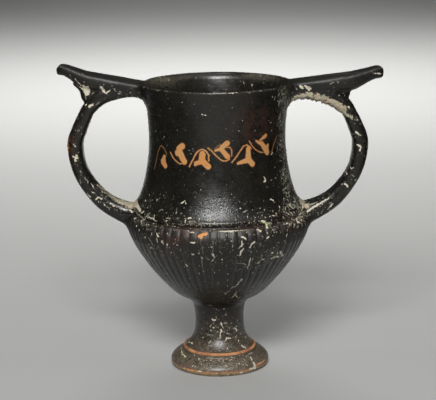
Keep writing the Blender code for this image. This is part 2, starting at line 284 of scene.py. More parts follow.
# Colours of glaze, clay and deposit
GLAZE_BLACK = (0.0050, 0.0047, 0.0037, 1)
GLAZE_OLIVE = (0.0095, 0.0088, 0.0062, 1)
GLAZE_BROWN = (0.0150, 0.0100, 0.0068, 1)
GLAZE_RED = (0.0420, 0.0170, 0.0110, 1)
GLAZE_THIN = (0.1080, 0.0760, 0.0520, 1)
DUST_COLOUR = (0.0520, 0.0360, 0.0240, 1)
BAND_COLOUR = (0.3000, 0.2000, 0.0950, 1)
FILM_COLOUR = (0.170, 0.160, 0.122, 1)
FLAKE_COLOUR = (0.430, 0.420, 0.290, 1)
RUBBED_COLOUR = (0.200, 0.155, 0.120, 1)
CLAY_ORANGE = (0.560, 0.260, 0.105, 1)
CLAY_BROWN = (0.300, 0.120, 0.055, 1)
IVY_ORANGE = (0.490, 0.204, 0.056, 1)
IVY_TAN = (0.455, 0.236, 0.084, 1)
IVY_HALO = (0.110, 0.040, 0.020, 1)
CRUST_CREAM = (0.430, 0.410, 0.290, 1)
CRUST_PINK = (0.450, 0.360, 0.260, 1)
CRUST_BROWN = (0.150, 0.125, 0.080, 1)
MARK_AND_HIGHLIGHT_TONES = (
    (DIM, (0.110, 0.098, 0.080)),
    (GREY, (0.270, 0.250, 0.205)),
    (CREAM, (0.600, 0.550, 0.430)),
    (GREEN, (0.600, 0.600, 0.370)),
    (CLAY, (0.640, 0.290, 0.105)),
)
DULL_ROUGHNESS = 0.85

# Heights between which the glaze grows thin towards the foot, and how soft a painted band's sides are
LOW_HEIGHTS = (36, 2)
BAND_SOFTNESS = 0.15

# Crust: its height and more where it hangs, its ragged edge and lumps, and its width over a strap,
# along which it stays thick up to one place and then thins by a share
CRUST_HEIGHT = 0.4
CRUST_HANG = 1.9
CRUST_EDGE = (0.7, -1.2)
CRUST_RAGGED = 1.6
CRUST_EVEN = 0.95
CRUST_LUMPY = 0.7
CRUST_WIDTH = 7.5
CRUST_FULL_TO = -2
CRUST_THINNING = 0.75
CRUST_STRIPES = 9
CRUST_REACH = 20
ROUGHNESS_SIZE = 1.7

# Chips, and the unevenness of clay that was turned by hand
CHIP_DEPTH = 0.45
CHIP_EDGE = (0.3, -0.5)
UNEVENNESS = 0.10
UNEVENNESS_SIZE = 14.0

# How sharply the skin has to turn before an arris is rubbed or a groove gathers dust
ARRIS_BULGE = (0.06, 0.32)
GROOVE_BULGE = (0.05, 0.30)
SHORTEST_EDGE = 0.05

# Strokes are cut into pieces of this many pixels. Each face carries the nearest few, or a stroke far
# below the ground where there is none near it
STROKE_STEP = 4.0
STROKE_SLOTS = 3
STROKE_REACH = 2.2
STROKE_PARTS = ("start", "end", "size")
SHORTEST_STROKE = 1e-9
NO_STROKE = (0, 0, -1e4, 0, 0, -1e4, 0, 0, 0)

# How the garland's strokes are widened and paled, the palest tone that the back leaves out, and how
# far the lines of garland and marks drift
LEAF_WIDENING = 1.12
TENDRIL_WIDENING = 0.8
TENDRIL_TONE = 0.8
FAINT_IVY = 0.4
IVY_DRIFT = 0.7
MARK_DRIFT = 2.0

# The scattered scratches: middle, width, least and most of the random draws for their length and
# radius, and how the wear of a place lengthens, widens and whitens them
SEED = 7
SCRATCH_LENGTH = (-0.70, 0.65, 0.1, 2.4)
SCRATCH_RADIUS = (-2.0, 0.45, 0.07, 0.34)
SCRATCH_RADIUS_MIDDLE = 0.13
SCRATCH_TONE = (0.20, 0.24)
PLAIN_LENGTH = 0.8
LONGER_BY_WEAR = 0.9
WIDER_BY_WEAR = 0.7
PALER_BY_WEAR = 0.35
PALER_BY_RADIUS = 0.7

# How they lie: more upright on the ribs, bent in places, and thinner at both ends
UPRIGHT_SHARE = 0.55
UPRIGHT_LEAN = 0.25
BENT_SHARE = 0.45
SCRATCH_BEND = (0.6, 2.2)
SCRATCH_TIP = (0.3, 0.9)
START_THINNING = 0.55
TIP_THINNING = 0.4

# Scratches for a square millimetre of plain skin and of the mouth's deposit, and the share of the
# front's wear that the back takes
PLAIN_AMOUNT = 0.035
MOUTH_SCATTER = 0.3
HIDDEN_SHARE = 0.55

# The worn edge of the lip, with a painted highlight along its front where the stretches are widest and
# palest:
# inset and drop, step in degrees, and for each stretch the degrees about the axis from and to, the half
# width in millimetres and the tone
LIP_WEAR_AND_HIGHLIGHT_INSET = 0.2
LIP_WEAR_AND_HIGHLIGHT_DROP = 0.35
LIP_WEAR_AND_HIGHLIGHT_STEP = 4
LIP_WEAR_AND_HIGHLIGHT = (
    (-158, -98, 0.13, GREY), (-98, -72, 0.24, CREAM), (-72, -22, 0.13, GREY),
    (-10, 40, 0.10, DIM), (95, 150, 0.10, DIM),
)
# The ivy garland: lobes and bodies of its leaves as strokes of x, y, radius, in pixels
IVY_LEAVES = (
    (164.4, 156.3, 1.6, 163.3, 161.2, 3.5), (163.3, 161.5, 3.3, 165.2, 165.8, 2.3),
    (182.3, 146, 2.8, 178.6, 148.6, 2.2), (180, 149.5, 2.3, 177.5, 153, 2.8),
    (179.5, 152.5, 3.2, 184.3, 161.7, 2.7), (202.4, 154.2, 2.7, 201.8, 160, 3),
    (201.8, 161.7, 2.3, 196, 163.4, 1.8, 195.2, 165, 1.2), (203, 161.7, 2.7, 208, 166.7, 2.6),
    (215.4, 150.6, 0.9, 220.3, 149.1, 1.6), (222.2, 147.1, 2.2, 227.2, 143.2, 2.3),
    (221.3, 149.6, 2, 227.4, 156.5, 2.3), (248.3, 148.6, 2, 248.3, 157.4, 2.6),
    (246.8, 160.4, 2.4, 238.2, 163.2, 1.1), (248.8, 159.4, 2.6, 252.2, 163.9, 2.6),
    (256, 141, 0.8, 261.5, 144, 1.8), (261.5, 143.3, 2, 266.5, 150.5, 3),
    (266.5, 150, 2.8, 267.2, 152, 2.6), (267.5, 145.5, 1.6, 266.5, 150, 2.5),
)
IVY_PALE_LOBE = (265.5, 135.8, 2.1, 260.1, 140.2, 1)

# Its tendrils: radius, tone and the pixels that they pass
IVY_TENDRILS = (
    (0.6, 0.35, (154.4, 168.8, 156.2, 160.9, 157.9, 152.6, 160, 146.8, 161.6, 145.7, 164.1, 148.4,
                 166.6, 153.8)),
    (0.7, 0.75, (170.3, 152.2, 173.2, 157.6, 176.5, 161.7, 179.9, 163.8, 182.8, 163.4)),
    (0.8, 0.85, (189.2, 166.7, 192.3, 160.9, 195.6, 154.2, 198.9, 150.5, 202.2, 149.5, 206, 151.3,
                 208.9, 155.5, 208.5, 160.9)),
    (0.7, 0.8, (208, 148.1, 211.9, 151, 215.4, 155, 218.8, 158.4, 222.7, 160.9, 226.2, 161.1,
                229.6, 158.9)),
    (0.6, 0.7, (226.7, 147.1, 229.6, 147.4, 231.6, 149.6, 231.8, 153.5, 231.6, 156)),
    (0.5, 0.25, (214.4, 149.1, 220.3, 144.2)),
    (0.7, 0.8, (232.1, 162.3, 236, 157.4, 239.9, 151.5, 243.4, 146.1, 246.8, 144.9, 249.7, 146.6,
                251.2, 149)),
    (0.6, 0.65, (249.3, 141.2, 252.2, 146.1, 255.6, 149.6, 259.6, 152, 263.5, 152.5)),
    (0.5, 0.5, (271.4, 153, 273.3, 145.6, 275.3, 140.2, 276.8, 136.3)),
)

# Marks on handles, neck, bowl and foot under their tones, among them painted highlights along lit edges:
# strokes of x, y, radius, x, y, radius
HANDLE_MARKS_AND_HIGHLIGHTS = {
    DIM: (
        (130, 87.3, 0.5, 134.2, 91.5, 0.5), (104.3, 99, 0.8),
        (329, 81.8, 0.8, 336, 78.9, 0.7, 343, 77.3, 0.6),
        (325, 75.6, 0.5, 350, 73.3, 0.5, 365.6, 71.8, 0.6), (343.2, 93.6, 0.6), (323.5, 88.3, 0.6),
        (354.4, 116.8, 0.6, 358.6, 117.5, 0.5),
    ),
    GREY: (
        (69.5, 74.9, 0.5, 71.6, 77.8, 0.4), (85.7, 95.6, 0.6, 86.1, 99.8, 0.4), (83.2, 81.5, 0.6),
        (98.9, 83.6, 0.5, 100.6, 84.9, 0.5), (119.7, 91.1, 0.6, 121.3, 91.9, 0.6), (118.8, 93.6, 0.9),
        (130.8, 92.7, 1), (131.3, 95.6, 0.5, 136.2, 100.2, 0.6), (139.6, 100.6, 0.9, 143.7, 104.8, 0.6),
        (96.4, 104.8, 0.5, 99.8, 102.4, 0.5), (80.4, 170.8, 0.6, 81.6, 174.6, 0.6),
        (84.8, 177.4, 0.5, 88.4, 182.6, 0.6), (107, 206.2, 0.6, 109.1, 208, 0.6),
        (104, 192.6, 0.8, 112, 197.4, 1.1, 120, 201.4, 1.2), (121, 203.4, 1.2, 130, 205, 1.6),
        (116, 206.4, 0.6, 122.6, 209.6, 0.7), (310, 204.4, 1, 317, 202, 0.8),
        (296.5, 88, 0.6, 297.5, 90, 0.5), (308, 79.2, 0.6, 313, 78.7, 0.5),
        (330, 84, 0.4, 338, 80.5, 0.6), (353, 103.4, 0.9), (347.4, 99.9, 0.5), (317.9, 213.3, 0.8),
        (336.6, 205.7, 0.8),
    ),
    CREAM: (
        (84, 86.5, 1.8, 87, 91.5, 3.4), (87.5, 88, 2.4, 86.3, 94.5, 1.6),
        (75.3, 79, 0.5, 81.1, 85.7, 0.8), (101.2, 87.6, 1.5, 105.6, 93.4, 1, 110.5, 90.2, 0.6),
        (138.3, 97.3, 1, 139.6, 100.6, 1.2), (85.7, 104.8, 1.2), (89, 106.8, 1.2, 92.3, 104.8, 1.2),
        (73.6, 156.6, 1, 77.6, 158.4, 1.1), (74.6, 145.4, 0.6, 75.4, 146.6, 0.5),
        (90.6, 183.4, 0.5, 93.8, 187.4, 0.7), (95, 199.6, 0.7, 99, 197.4, 0.8),
        (88.6, 195.4, 0.6, 90.4, 197, 0.6), (103.4, 203, 0.7, 105.2, 205.4, 0.6),
        (110.4, 203.4, 0.7, 113.8, 206, 0.7), (92, 191.9, 0.6, 94.4, 193, 0.6),
        (100, 198, 0.6, 102.1, 199.6, 0.7), (131, 203.4, 1.7, 137.6, 206, 2, 140.4, 211, 1.6),
        (127, 209, 0.7, 133, 212, 0.9), (137, 214, 1.2, 142.4, 217.6, 1.4, 141, 222, 0.9),
        (303, 203, 1.3, 302.4, 209.6, 1.6, 299, 214.6, 1.1), (300.5, 86.5, 1.4, 302.5, 88.5, 1.1),
        (304.5, 85.5, 0.8, 309, 89.8, 1.3), (306.5, 88.4, 0.8, 311, 89, 0.9),
        # The first two strokes paint the highlight and glint in the channel at the right spur's rolled tip
        (373.3, 73, 0.6, 379.6, 74, 0.9), (382, 73.8, 0.7), (348.8, 106.6, 1.2, 349.4, 108.2, 0.9),
        (355.5, 132, 0.8, 359, 133.8, 1, 360.6, 135.4, 0.6),
        (357, 144.4, 0.6, 361, 147, 1, 360, 150.6, 0.8), (346, 171.5, 0.9, 346.6, 174, 0.7),
        (344.6, 183.6, 0.9, 347.4, 186.2, 1), (328, 209.2, 0.6, 332.6, 204.2, 0.8),
    ),
    GREEN: (
        (77.4, 85.7, 0.5, 83.2, 89.5, 1), (76.4, 154.8, 0.9, 75.2, 161, 1),
    ),
    CLAY: (
        # Along the left strap's outer edge: reddish glaze, and a painted highlight of the lit edge
        (71.6, 126, 0.3, 68.8, 138, 0.45, 68.2, 150, 0.5, 69, 162, 0.4),
    ),
}
NECK_MARKS = {
    DIM: (
        (175.5, 218.8, 0.6, 179.6, 218.1, 0.5),
    ),
    GREY: (
        (264.9, 210.1, 0.8), (272.6, 209.9, 0.6, 272.4, 211.6, 0.6), (177, 208.5, 0.6, 176.3, 213, 0.6),
        (158.8, 211, 0.6, 161.5, 209.7, 0.6), (149.4, 229.5, 0.7), (164.8, 218.4, 0.5, 170.2, 218.4, 0.7),
        (168.8, 221.1, 0.6, 171, 220, 0.4), (189, 221.1, 0.6, 193, 220.5, 0.4),
        (186.3, 224.1, 0.5, 190.3, 224.1, 0.5), (197, 225.5, 0.5, 200.3, 224.5, 0.5),
        (209, 226.1, 0.5, 211.7, 226.1, 0.6),
    ),
    CREAM: (
        (202.4, 114.6, 0.6, 205.6, 115.6, 0.6), (264.5, 177.6, 0.8, 265.2, 180.4, 1.1, 263.8, 182, 0.6),
        (289.3, 196.2, 1), (279.4, 206.8, 1), (270.3, 199.4, 0.7, 273.3, 200, 0.7),
        (269.9, 216.4, 0.7, 274, 215.4, 0.7), (277.3, 221.4, 0.8), (257.9, 229.6, 0.9, 260.5, 231.3, 1.1),
        (181.5, 203.4, 0.7, 183.7, 202, 0.6), (184.5, 201.2, 0.6, 185.6, 203.6, 0.6), (145.4, 200.7, 1),
        (134.5, 218.4, 1.3, 138.3, 215.3, 1.1), (141, 213.5, 0.8, 143.5, 211.5, 0.7),
        (143.7, 219.8, 0.7, 145.6, 218.2, 0.6), (146, 216.4, 0.6, 152, 218.5, 0.8, 155.5, 221, 0.9),
        (153.1, 223.8, 0.8), (136.7, 226.1, 1), (185.3, 218.6, 0.7, 185, 221.4, 0.7),
        (188, 218.8, 0.5, 190.6, 218, 0.8),
    ),
    GREEN: (
        (260.5, 220.1, 0.7, 267.2, 223.8, 1.5, 271.3, 222.5, 0.7), (267.2, 223.8, 1.5, 266.6, 227.2, 1.3),
    ),
}
BOWL_MARKS_AND_HIGHLIGHTS = {
    DIM: (
        (200.4, 240.5, 0.4, 200.4, 252, 0.4), (212.8, 264, 0.4, 212.6, 288, 0.3),
        (197.4, 280.4, 0.6, 199, 279, 0.6), (172.5, 256.3, 0.7), (170.2, 259.6, 0.6),
        (236.1, 264.7, 0.4, 236.4, 272, 0.4), (208, 291.4, 0.4, 225, 291.5, 0.4),
    ),
    GREY: (
        # The first two strokes paint the highlight along the ledge's rounded edge, grey at its ends
        (191, 229, 0.4, 206.4, 230.6, 0.6, 220, 231, 0.8), (241, 230.4, 0.7, 251, 229, 0.4),
        (209, 246.9, 0.8, 211.7, 246.9, 0.9), (155.1, 252.6, 0.7, 155.6, 254.2, 0.5),
        (202.3, 240.5, 0.3, 202.8, 254.6, 0.3, 201.8, 257.3, 0.6, 202.6, 272, 0.3),
        (213, 241.9, 0.4, 212.4, 252.6, 0.4), (206.4, 257.3, 0.6, 209, 259.3, 0.6),
        (198.6, 272.6, 0.7, 199.6, 274.4, 0.5), (203.3, 270.7, 0.7), (195.6, 294.8, 0.5, 201, 296.8, 0.5),
        (232.7, 232.5, 0.6, 232.7, 247.2, 0.4), (221.6, 262.6, 0.6),
        (232.1, 263.3, 0.4, 244.5, 263.7, 0.5, 245.8, 267.3, 0.6), (284, 240.8, 0.7, 286, 243.2, 0.7),
        (267.2, 256, 0.7), (255.2, 268.7, 0.6, 256.4, 266.6, 0.5), (267.9, 263.3, 0.7),
        (253.2, 273.4, 0.6), (231, 290.1, 0.6, 225, 294.1, 0.5), (308, 229.8, 0.5, 302.7, 237.9, 0.5),
    ),
    CREAM: (
        # The first two strokes paint the bright highlight along the ledge's rounded edge
        (220, 231.2, 0.9, 230.5, 231.2, 1.1, 241, 230.6, 0.8), (188.3, 231.3, 0.9, 193.6, 232.8, 0.7),
        (190.3, 242.6, 0.8, 194.3, 242.4, 1.1), (190.9, 253.7, 0.6, 194, 254.2, 0.6),
        (156.8, 233.2, 0.6, 157.6, 236.2, 1.2), (148.8, 237.9, 0.7, 151, 241, 0.6, 152.5, 244.7, 0.4),
        (156.8, 238.5, 0.8, 157.5, 241.9, 0.6), (167.2, 244.4, 0.8, 167.4, 246.2, 0.7),
        (150.4, 247.6, 0.8), (211.7, 253.3, 0.5, 214.2, 256.6, 0.6, 212.4, 262, 0.6),
        (185.6, 264, 0.6, 187.4, 266.2, 0.9), (241.5, 237.2, 0.8, 245.5, 238.9, 0.9),
        (242.1, 241.2, 0.7, 241.8, 245.9, 0.9, 239.4, 248.6, 0.5),
        (243.8, 247.9, 0.6, 241.1, 251.9, 0.9, 239.8, 256, 0.6),
        (249.8, 247.9, 0.9, 250.5, 245.2, 0.7, 255.2, 241.6, 1), (250.8, 251.9, 0.8),
        (250.5, 258, 0.7, 249.2, 264.7, 0.7, 247.2, 268.7, 0.5), (222, 259.6, 1), (267.2, 233.5, 0.8),
        (267, 237.9, 0.7, 268.6, 237.1, 0.8), (286.2, 236.2, 0.9, 287.2, 234.2, 0.8), (277.6, 232.2, 0.8),
        (286, 223.8, 0.8, 290, 224.5, 0.8), (280.6, 251.9, 1.2, 282, 255.3, 1.7),
        (278.6, 256.6, 1.1, 273.9, 257.6, 1.2, 271.3, 258.6, 0.9),
        (241.8, 279.4, 0.8, 235.1, 286.8, 0.5, 230.4, 288.4, 0.4), (289.3, 204.4, 0.9, 292.7, 208.4, 0.9),
        (291.4, 213.1, 0.9, 292.7, 215.8, 0.8), (296.7, 218.5, 0.9, 297.6, 222.5, 1, 298, 227.8, 0.6),
        (301.4, 219.8, 0.8, 302, 227.1, 0.6), (298.7, 216.6, 0.9, 304, 217.8, 0.8),
        (299.4, 213.2, 0.9, 304, 211.7, 0.9), (307.4, 211.7, 1, 314, 207, 1.1, 328.6, 198.4, 0.7),
    ),
    GREEN: (
        (272, 253.3, 1.1), (257.2, 263.3, 0.5, 260.5, 260.6, 0.6, 264.2, 259.6, 0.6),
        (237, 291.4, 0.6, 233, 296.8, 0.7), (234.8, 294.6, 0.6, 237.6, 297.4, 0.6),
    ),
}
FOOT_MARKS_AND_HIGHLIGHTS = {
    GREY: (
        (208.4, 304.8, 0.8, 211.4, 306, 0.8), (213.4, 307.2, 0.6, 215.4, 308.6, 0.5), (203.2, 311.8, 0.7),
        (227.4, 333.2, 0.9, 229.6, 333.8, 0.8), (207.1, 334.6, 0.6, 212.7, 335.7, 0.5),
        (240.4, 333.9, 0.8), (240.1, 324.5, 0.7), (230.6, 323.1, 0.5),
        # A painted highlight: the broken pale line along the top of the foot's moulding
        (207, 358, 0.5, 212, 358.6, 0.8, 220, 358.9, 0.7, 228, 358.3, 0.5),
        (248, 354.6, 0.9, 252.4, 352.4, 0.9), (197.4, 373.6, 0.8),
    ),
    CREAM: (
        (212.2, 319.2, 0.9, 214.8, 320.2, 0.9), (221.1, 323.8, 0.9, 223.2, 328, 0.7),
        (220.8, 330, 0.8, 220.4, 338.5, 0.6), (235.2, 328, 0.8, 236.8, 330.2, 1),
        (225.4, 341.3, 0.6, 226.8, 337.8, 0.6, 230.3, 338.5, 0.6), (209.8, 342, 0.5, 211.4, 340.8, 0.6),
        (238.3, 340.3, 0.9), (241.5, 345.5, 0.8, 245.7, 348.3, 0.8),
        (253.4, 362.4, 1.1, 254.8, 367.3, 1.8, 250, 369, 1.1), (250.4, 357, 0.9, 252, 360, 0.8),
        (198.7, 370.9, 0.9, 201, 371.3, 0.8), (240, 373.2, 0.8, 242.4, 372.4, 0.7),
    ),
    GREEN: (
        (188.9, 342, 0.7, 192.6, 343.4, 0.7), (185, 340.6, 0.9),
        (181.3, 350, 0.6, 182, 353.6, 0.6, 185.4, 356.8, 0.7),
    ),
    CLAY: (
        (257, 365.4, 0.8, 262.5, 361.8, 0.9, 265.5, 359, 0.6),
        (184, 368.3, 0.5, 190, 369.8, 0.6, 198.7, 370.9, 0.8),
    ),
}
CHIPS = (
    (198.8, 236.2, 1.4, 201.2, 237, 2),
    (200.5, 235.8, 2.1, 206.3, 233.6, 1.5),
)

# Thick crust on the handles' inner sides, in pixels of the side that the photograph shows
CRUSTS = (
    (289.5, 104, 2.4, 294, 98, 3.4, 301, 95.8, 3.4, 307, 94.6, 4.2, 315, 96.2, 4, 323, 98.6, 4.6,
     330, 101.4, 4.2, 337, 105, 4.2, 342, 109, 4.2, 345, 113, 2.4, 350, 117, 1, 353.7, 119.4, 0.5),
    (98, 184, 0.5, 108, 192, 0.9, 118, 197, 1.2, 128, 200.5, 1.8, 136, 203, 3, 140, 208.4, 2.4),
    (301, 203, 2.4, 304, 208, 2.6, 309, 206, 1.6),
    (299.6, 201.4, 1.4, 303.4, 208.4, 2),
)

# Where the skin is worn: x, y, half width and half height in pixels, marks for a square millimetre
WORN_PLACES = (
    (283, 105, 5, 20, 0.5), (282, 140, 5, 24, 0.45), (287, 180, 6, 24, 0.6), (281, 150, 9, 60, 0.15),
    (286, 100, 8, 10, 0.5), (296, 212, 10, 14, 0.95), (156, 205, 14, 16, 0.18), (143, 220, 10, 12, 0.34),
    (214, 213, 26, 11, 0.26), (192, 222, 26, 5, 0.3), (205, 225, 50, 5, 0.3), (270, 222, 24, 14, 0.35),
    (160, 245, 22, 20, 0.25), (225, 250, 45, 22, 0.16), (268, 255, 20, 16, 0.3), (225, 290, 30, 8, 0.2),
    (222, 328, 14, 14, 0.4), (240, 335, 9, 16, 0.35), (220, 362, 50, 12, 0.5), (78, 130, 9, 50, 0.13),
    (110, 90, 40, 12, 0.1), (112, 200, 28, 14, 0.4), (350, 150, 12, 44, 0.34), (320, 205, 22, 16, 0.35),
    (330, 90, 30, 14, 0.1),
)

# Deposit on the mouth's far inner wall: x, y, half width, half height in pixels, amount
MOUTH_PLACES = (
    (161, 79, 16, 7, 0.6), (262, 75, 16, 4, 0.6),
)

# Where the glaze fired reddish brown: x, y, half width, half height in pixels, share
RED_PLACES = (
    (254, 125, 26, 26, 0.55), (190, 232, 22, 10, 0.65), (245, 228, 30, 6, 0.6), (168, 245, 16, 16, 0.4),
    (225, 300, 22, 6, 0.22), (220, 325, 24, 20, 0.35), (220, 365, 55, 16, 0.9), (70, 140, 6, 30, 0.6),
    (290, 220, 18, 14, 0.45),
)

# Where the skin is etched to a fine grain: x, y, half width, half height in pixels, share
GRAIN_PLACES = (
    (217, 208, 34, 17, 1.6), (217, 112, 22, 26, 0.35), (220, 348, 30, 12, 0.6), (220, 366, 40, 8, 0.6),
    (270, 215, 20, 16, 0.4),
)


def between(before, start, end, after, t):
    """One coordinate on a Catmull-Rom span from start to end."""
    linear = (end - before) * t
    square = (2 * before - 5 * start + 4 * end - after) * t**2
    cube = (3 * (start - end) + after - before) * t**3
    return 0.5 * (2 * start + linear + square + cube)


def smooth_curve(points, spans=8):
    """Points of any dimension on a smooth curve through the given ones."""
    first = tuple(2 * a - b for a, b in zip(points[0], points[1]))
    last = tuple(2 * a - b for a, b in zip(points[-1], points[-2]))
    padded = [first, *points, last]
    curve = []
    for corners in zip(padded, padded[1:], padded[2:], padded[3:]):
        for step in range(spans):
            curve.append(tuple(between(*values, step / spans) for values in zip(*corners)))
    curve.append(tuple(points[-1]))
    return curve


def smoothstep(low, high, value):
    share = np.clip((value - low) / (high - low), 0.0, 1.0)
    return share * share * (3 - 2 * share)


def evenly(points, spacing):
    """The same open outline with points at even steps."""
    points = np.array(points, float)
    lengths = np.hypot(*np.diff(points, axis=0).T)
    along = np.concatenate([[0.0], np.cumsum(lengths)])
    count = max(1, round(along[-1] / spacing))
    steps = np.linspace(0.0, along[-1], count + 1)
    return np.stack([np.interp(steps, along, points[:, k]) for k in (0, 1)], axis=1)


def corners_rounded(points, reach):
    """An outline whose corners are rounded off over the given reach."""
    points = [np.array(point, float) for point in points]
    rounded = [points[0]]
    for before, corner, after in zip(points, points[1:], points[2:]):
        back = before - corner
        ahead = after - corner
        back *= min(reach, np.linalg.norm(back) * CORNER_SHARE) / np.linalg.norm(back)
        ahead *= min(reach, np.linalg.norm(ahead) * CORNER_SHARE) / np.linalg.norm(ahead)
        for t in np.linspace(0.0, 1.0, CORNER_POINTS):
            rounded.append(corner + back * (1 - t) ** 2 + ahead * t**2)
    rounded.append(points[-1])
    return rounded


def within(profile, low, high=math.inf):
    """The part of an outline that lies between two heights."""
    return [point for point in profile if low <= point[1] < high]


def bowl_curve():
    """The bowl's outside from the top of the stem to the ledge."""
    stem = STEM_DIAMETER / 2
    swell = BOWL_DIAMETER / 2 - stem
    curve = smooth_curve(BOWL_SHAPE)
    return [(stem + share * swell, BOWL_BOTTOM + height * BOWL_HEIGHT) for height, share in curve]


def shoulder_radius():
    return bowl_curve()[-1][0] - LEDGE_WIDTH


def foot_profile():
    """Resting edge, band, groove, rounded moulding, groove and the reserved ring."""
    edge = FOOT_DIAMETER / 2
    ring = FOOT_RING_DIAMETER / 2
    chamfer = FOOT_BAND_HEIGHT / 4
    groove = FOOT_GROOVE_DEPTH
    ring_bottom = FOOT_HEIGHT - FOOT_RING_THICKNESS
    profile = [(edge - 2 * chamfer, 0.0), (edge - chamfer / 2, chamfer)]
    profile += [(edge, FOOT_BAND_HEIGHT - groove), (edge - groove, FOOT_BAND_HEIGHT)]
    top_radius = ring + 2 * groove
    top_height = ring_bottom - 3 * groove
    base = FOOT_BAND_HEIGHT + groove
    for step in range(MOULDING_STEPS + 1):
        turn = math.radians(90) * step / MOULDING_STEPS
        radius = top_radius + (edge - top_radius) * math.cos(turn) ** FOOT_ROUNDNESS
        profile.append((radius, base + (top_height - base) * math.sin(turn) ** FOOT_ROUNDNESS))
    profile.append((ring - groove / 2, top_height))
    profile.append((ring, ring_bottom + FOOT_RING_THICKNESS / 2))
    profile.append((ring - groove, FOOT_HEIGHT))
    return corners_rounded(profile, FOOT_CORNER)


def stem_profile():
    """The concave flare from the foot's ring up to the bowl."""
    stem = STEM_DIAMETER / 2
    start = FOOT_RING_DIAMETER / 2 - 2 * FOOT_GROOVE_DEPTH
    profile = []
    for share in np.linspace(0.0, 1.0, STEM_POINTS):
        radius = stem + (start - stem) * (1 - share) ** STEM_FLARE_POWER
        profile.append((radius, FOOT_HEIGHT + STEM_FLARE_SHARE * share * STEM_HEIGHT))
    return profile


def neck_profile():
    """Groove over the ledge, rounded shoulder, concave neck and flaring rim."""
    shoulder = shoulder_radius()
    neck = NECK_DIAMETER / 2
    groove_height = LEDGE + SHOULDER_ROUND / 3
    flare_start = LEDGE + SHOULDER_ROUND
    narrowest = LEDGE + NARROWEST_SHARE * NECK_HEIGHT
    profile = [(shoulder - SHOULDER_GROOVE_DEPTH, groove_height)]
    profile.append((shoulder + SHOULDER_GROOVE_DEPTH / 2, (groove_height + flare_start) / 2))
    for step in range(NECK_STEPS):
        share = 1 - step / NECK_STEPS
        flare = EVEN_FLARE_SHARE * share**2 + (1 - EVEN_FLARE_SHARE) * share**SHOULDER_FLARE_POWER
        profile.append((neck + (shoulder - neck) * flare, narrowest - share * (narrowest - flare_start)))
    lip_bottom = RIM - LIP_THICKNESS / 3
    rim = RIM_DIAMETER / 2
    for share in np.linspace(0.0, 1.0, NECK_STEPS):
        profile.append((neck + (rim - neck) * share**2, narrowest + share * (lip_bottom - narrowest)))
    return profile


def lip_profile():
    """Over the rim, from the outer edge to where the inside starts."""
    edge = RIM_DIAMETER / 2
    inner = edge - LIP_THICKNESS
    points = [(edge, RIM - LIP_THICKNESS / 3), (edge - LIP_THICKNESS / 4, RIM)]
    points += [(inner + LIP_THICKNESS / 4, RIM), (inner, RIM - LIP_THICKNESS / 2)]
    return corners_rounded(points, LIP_CORNER)


def inside_profile():
    """The hollow's wall and floor, from below the lip down to the middle of the floor."""
    floor = BOWL_BOTTOM + FLOOR_THICKNESS
    bowl = bowl_curve()
    wall = []
    for (r0, z0), (r1, z1), (r2, z2) in zip(bowl, bowl[1:], bowl[2:]):
        run = math.hypot(r2 - r0, z2 - z0)
        inner = (r1 - BOWL_WALL * (z2 - z0) / run, z1 + BOWL_WALL * (r2 - r0) / run)
        if floor + BOWL_WALL / 3 < inner[1] < LEDGE - BOWL_WALL / 3:
            wall.append(inner)
    dish = (DISH_RADIUS_SHARE * wall[0][0], floor + DISH_HEIGHT_SHARE * (wall[0][1] - floor))
    side = [dish, *wall, (shoulder_radius() - NECK_WALL, LEDGE + SHOULDER_ROUND / 2)]
    side += [(radius - NECK_WALL, height) for radius, height in neck_profile()[NECK_INSIDE]]
    return [*reversed(side), (0.0, floor)]


def under_profile():
    """From the middle of the shallow hollow under the foot to the resting edge."""
    edge = FOOT_DIAMETER / 2 - FOOT_BAND_HEIGHT / 2
    inner = edge - FOOT_REST_WIDTH
    dish = (RECESS_DISH_SHARE * inner, RECESS_DISH_SHARE * RECESS_DEPTH)
    return [(0.0, RECESS_DEPTH), dish, (inner, RECESS_DEPTH / 6), (inner + RECESS_EDGE, 0.0), (edge, 0.0)]


def body_rows():
    """Every row of the turned body as (radius, height, columns), in order along its skin."""
    belt = within(bowl_curve(), BELT_START)
    lower = stem_profile() + within(bowl_curve(), 0, BELT_START)
    ledge_top = (shoulder_radius() - SHOULDER_GROOVE_DEPTH, LEDGE + LEDGE_SLOPE)
    neck = neck_profile()
    upper = corners_rounded([belt[-1], ledge_top, *neck[:3]], LEDGE_CORNER) + neck[3:-1]
    neck_start = LEDGE + 2 * SHOULDER_ROUND
    zones = (
        (under_profile(), UNDER_SPACING, COLUMNS // 2),
        (foot_profile(), FINE_SPACING, COLUMNS),
        (lower, ROW_SPACING, COLUMNS),
        (belt, ROW_SPACING, RIB_COUNT * len(RIB_COLUMNS)),
        (within(upper, 0, neck_start), FINE_SPACING, COLUMNS),
        (within(upper, neck_start), ROW_SPACING, COLUMNS),
        (lip_profile(), FINE_SPACING, COLUMNS),
        (inside_profile(), INSIDE_SPACING, COLUMNS // 2),
    )
    rows = []
    for profile, spacing, columns in zones:
        for radius, height in evenly(profile, spacing):
            if not rows or math.hypot(radius - rows[-1][0], height - rows[-1][1]) > CLOSEST_ROWS:
                rows.append((radius, height, columns))
    return rows


def column_angles(columns):
    if columns == RIB_COUNT * len(RIB_COLUMNS):
        shares = [rib + share for rib in range(RIB_COUNT) for share in RIB_COLUMNS]
        return np.array(shares) * math.tau / RIB_COUNT
    first = RIB_COLUMNS[0] * math.tau / RIB_COUNT
    return first + np.arange(columns) * math.tau / columns


def hashed(numbers):
    """A steady random share for each whole number."""
    scale, offset, spread = STEADY_RANDOM
    return np.modf(np.abs(np.sin(numbers * scale + offset)) * spread)[0]


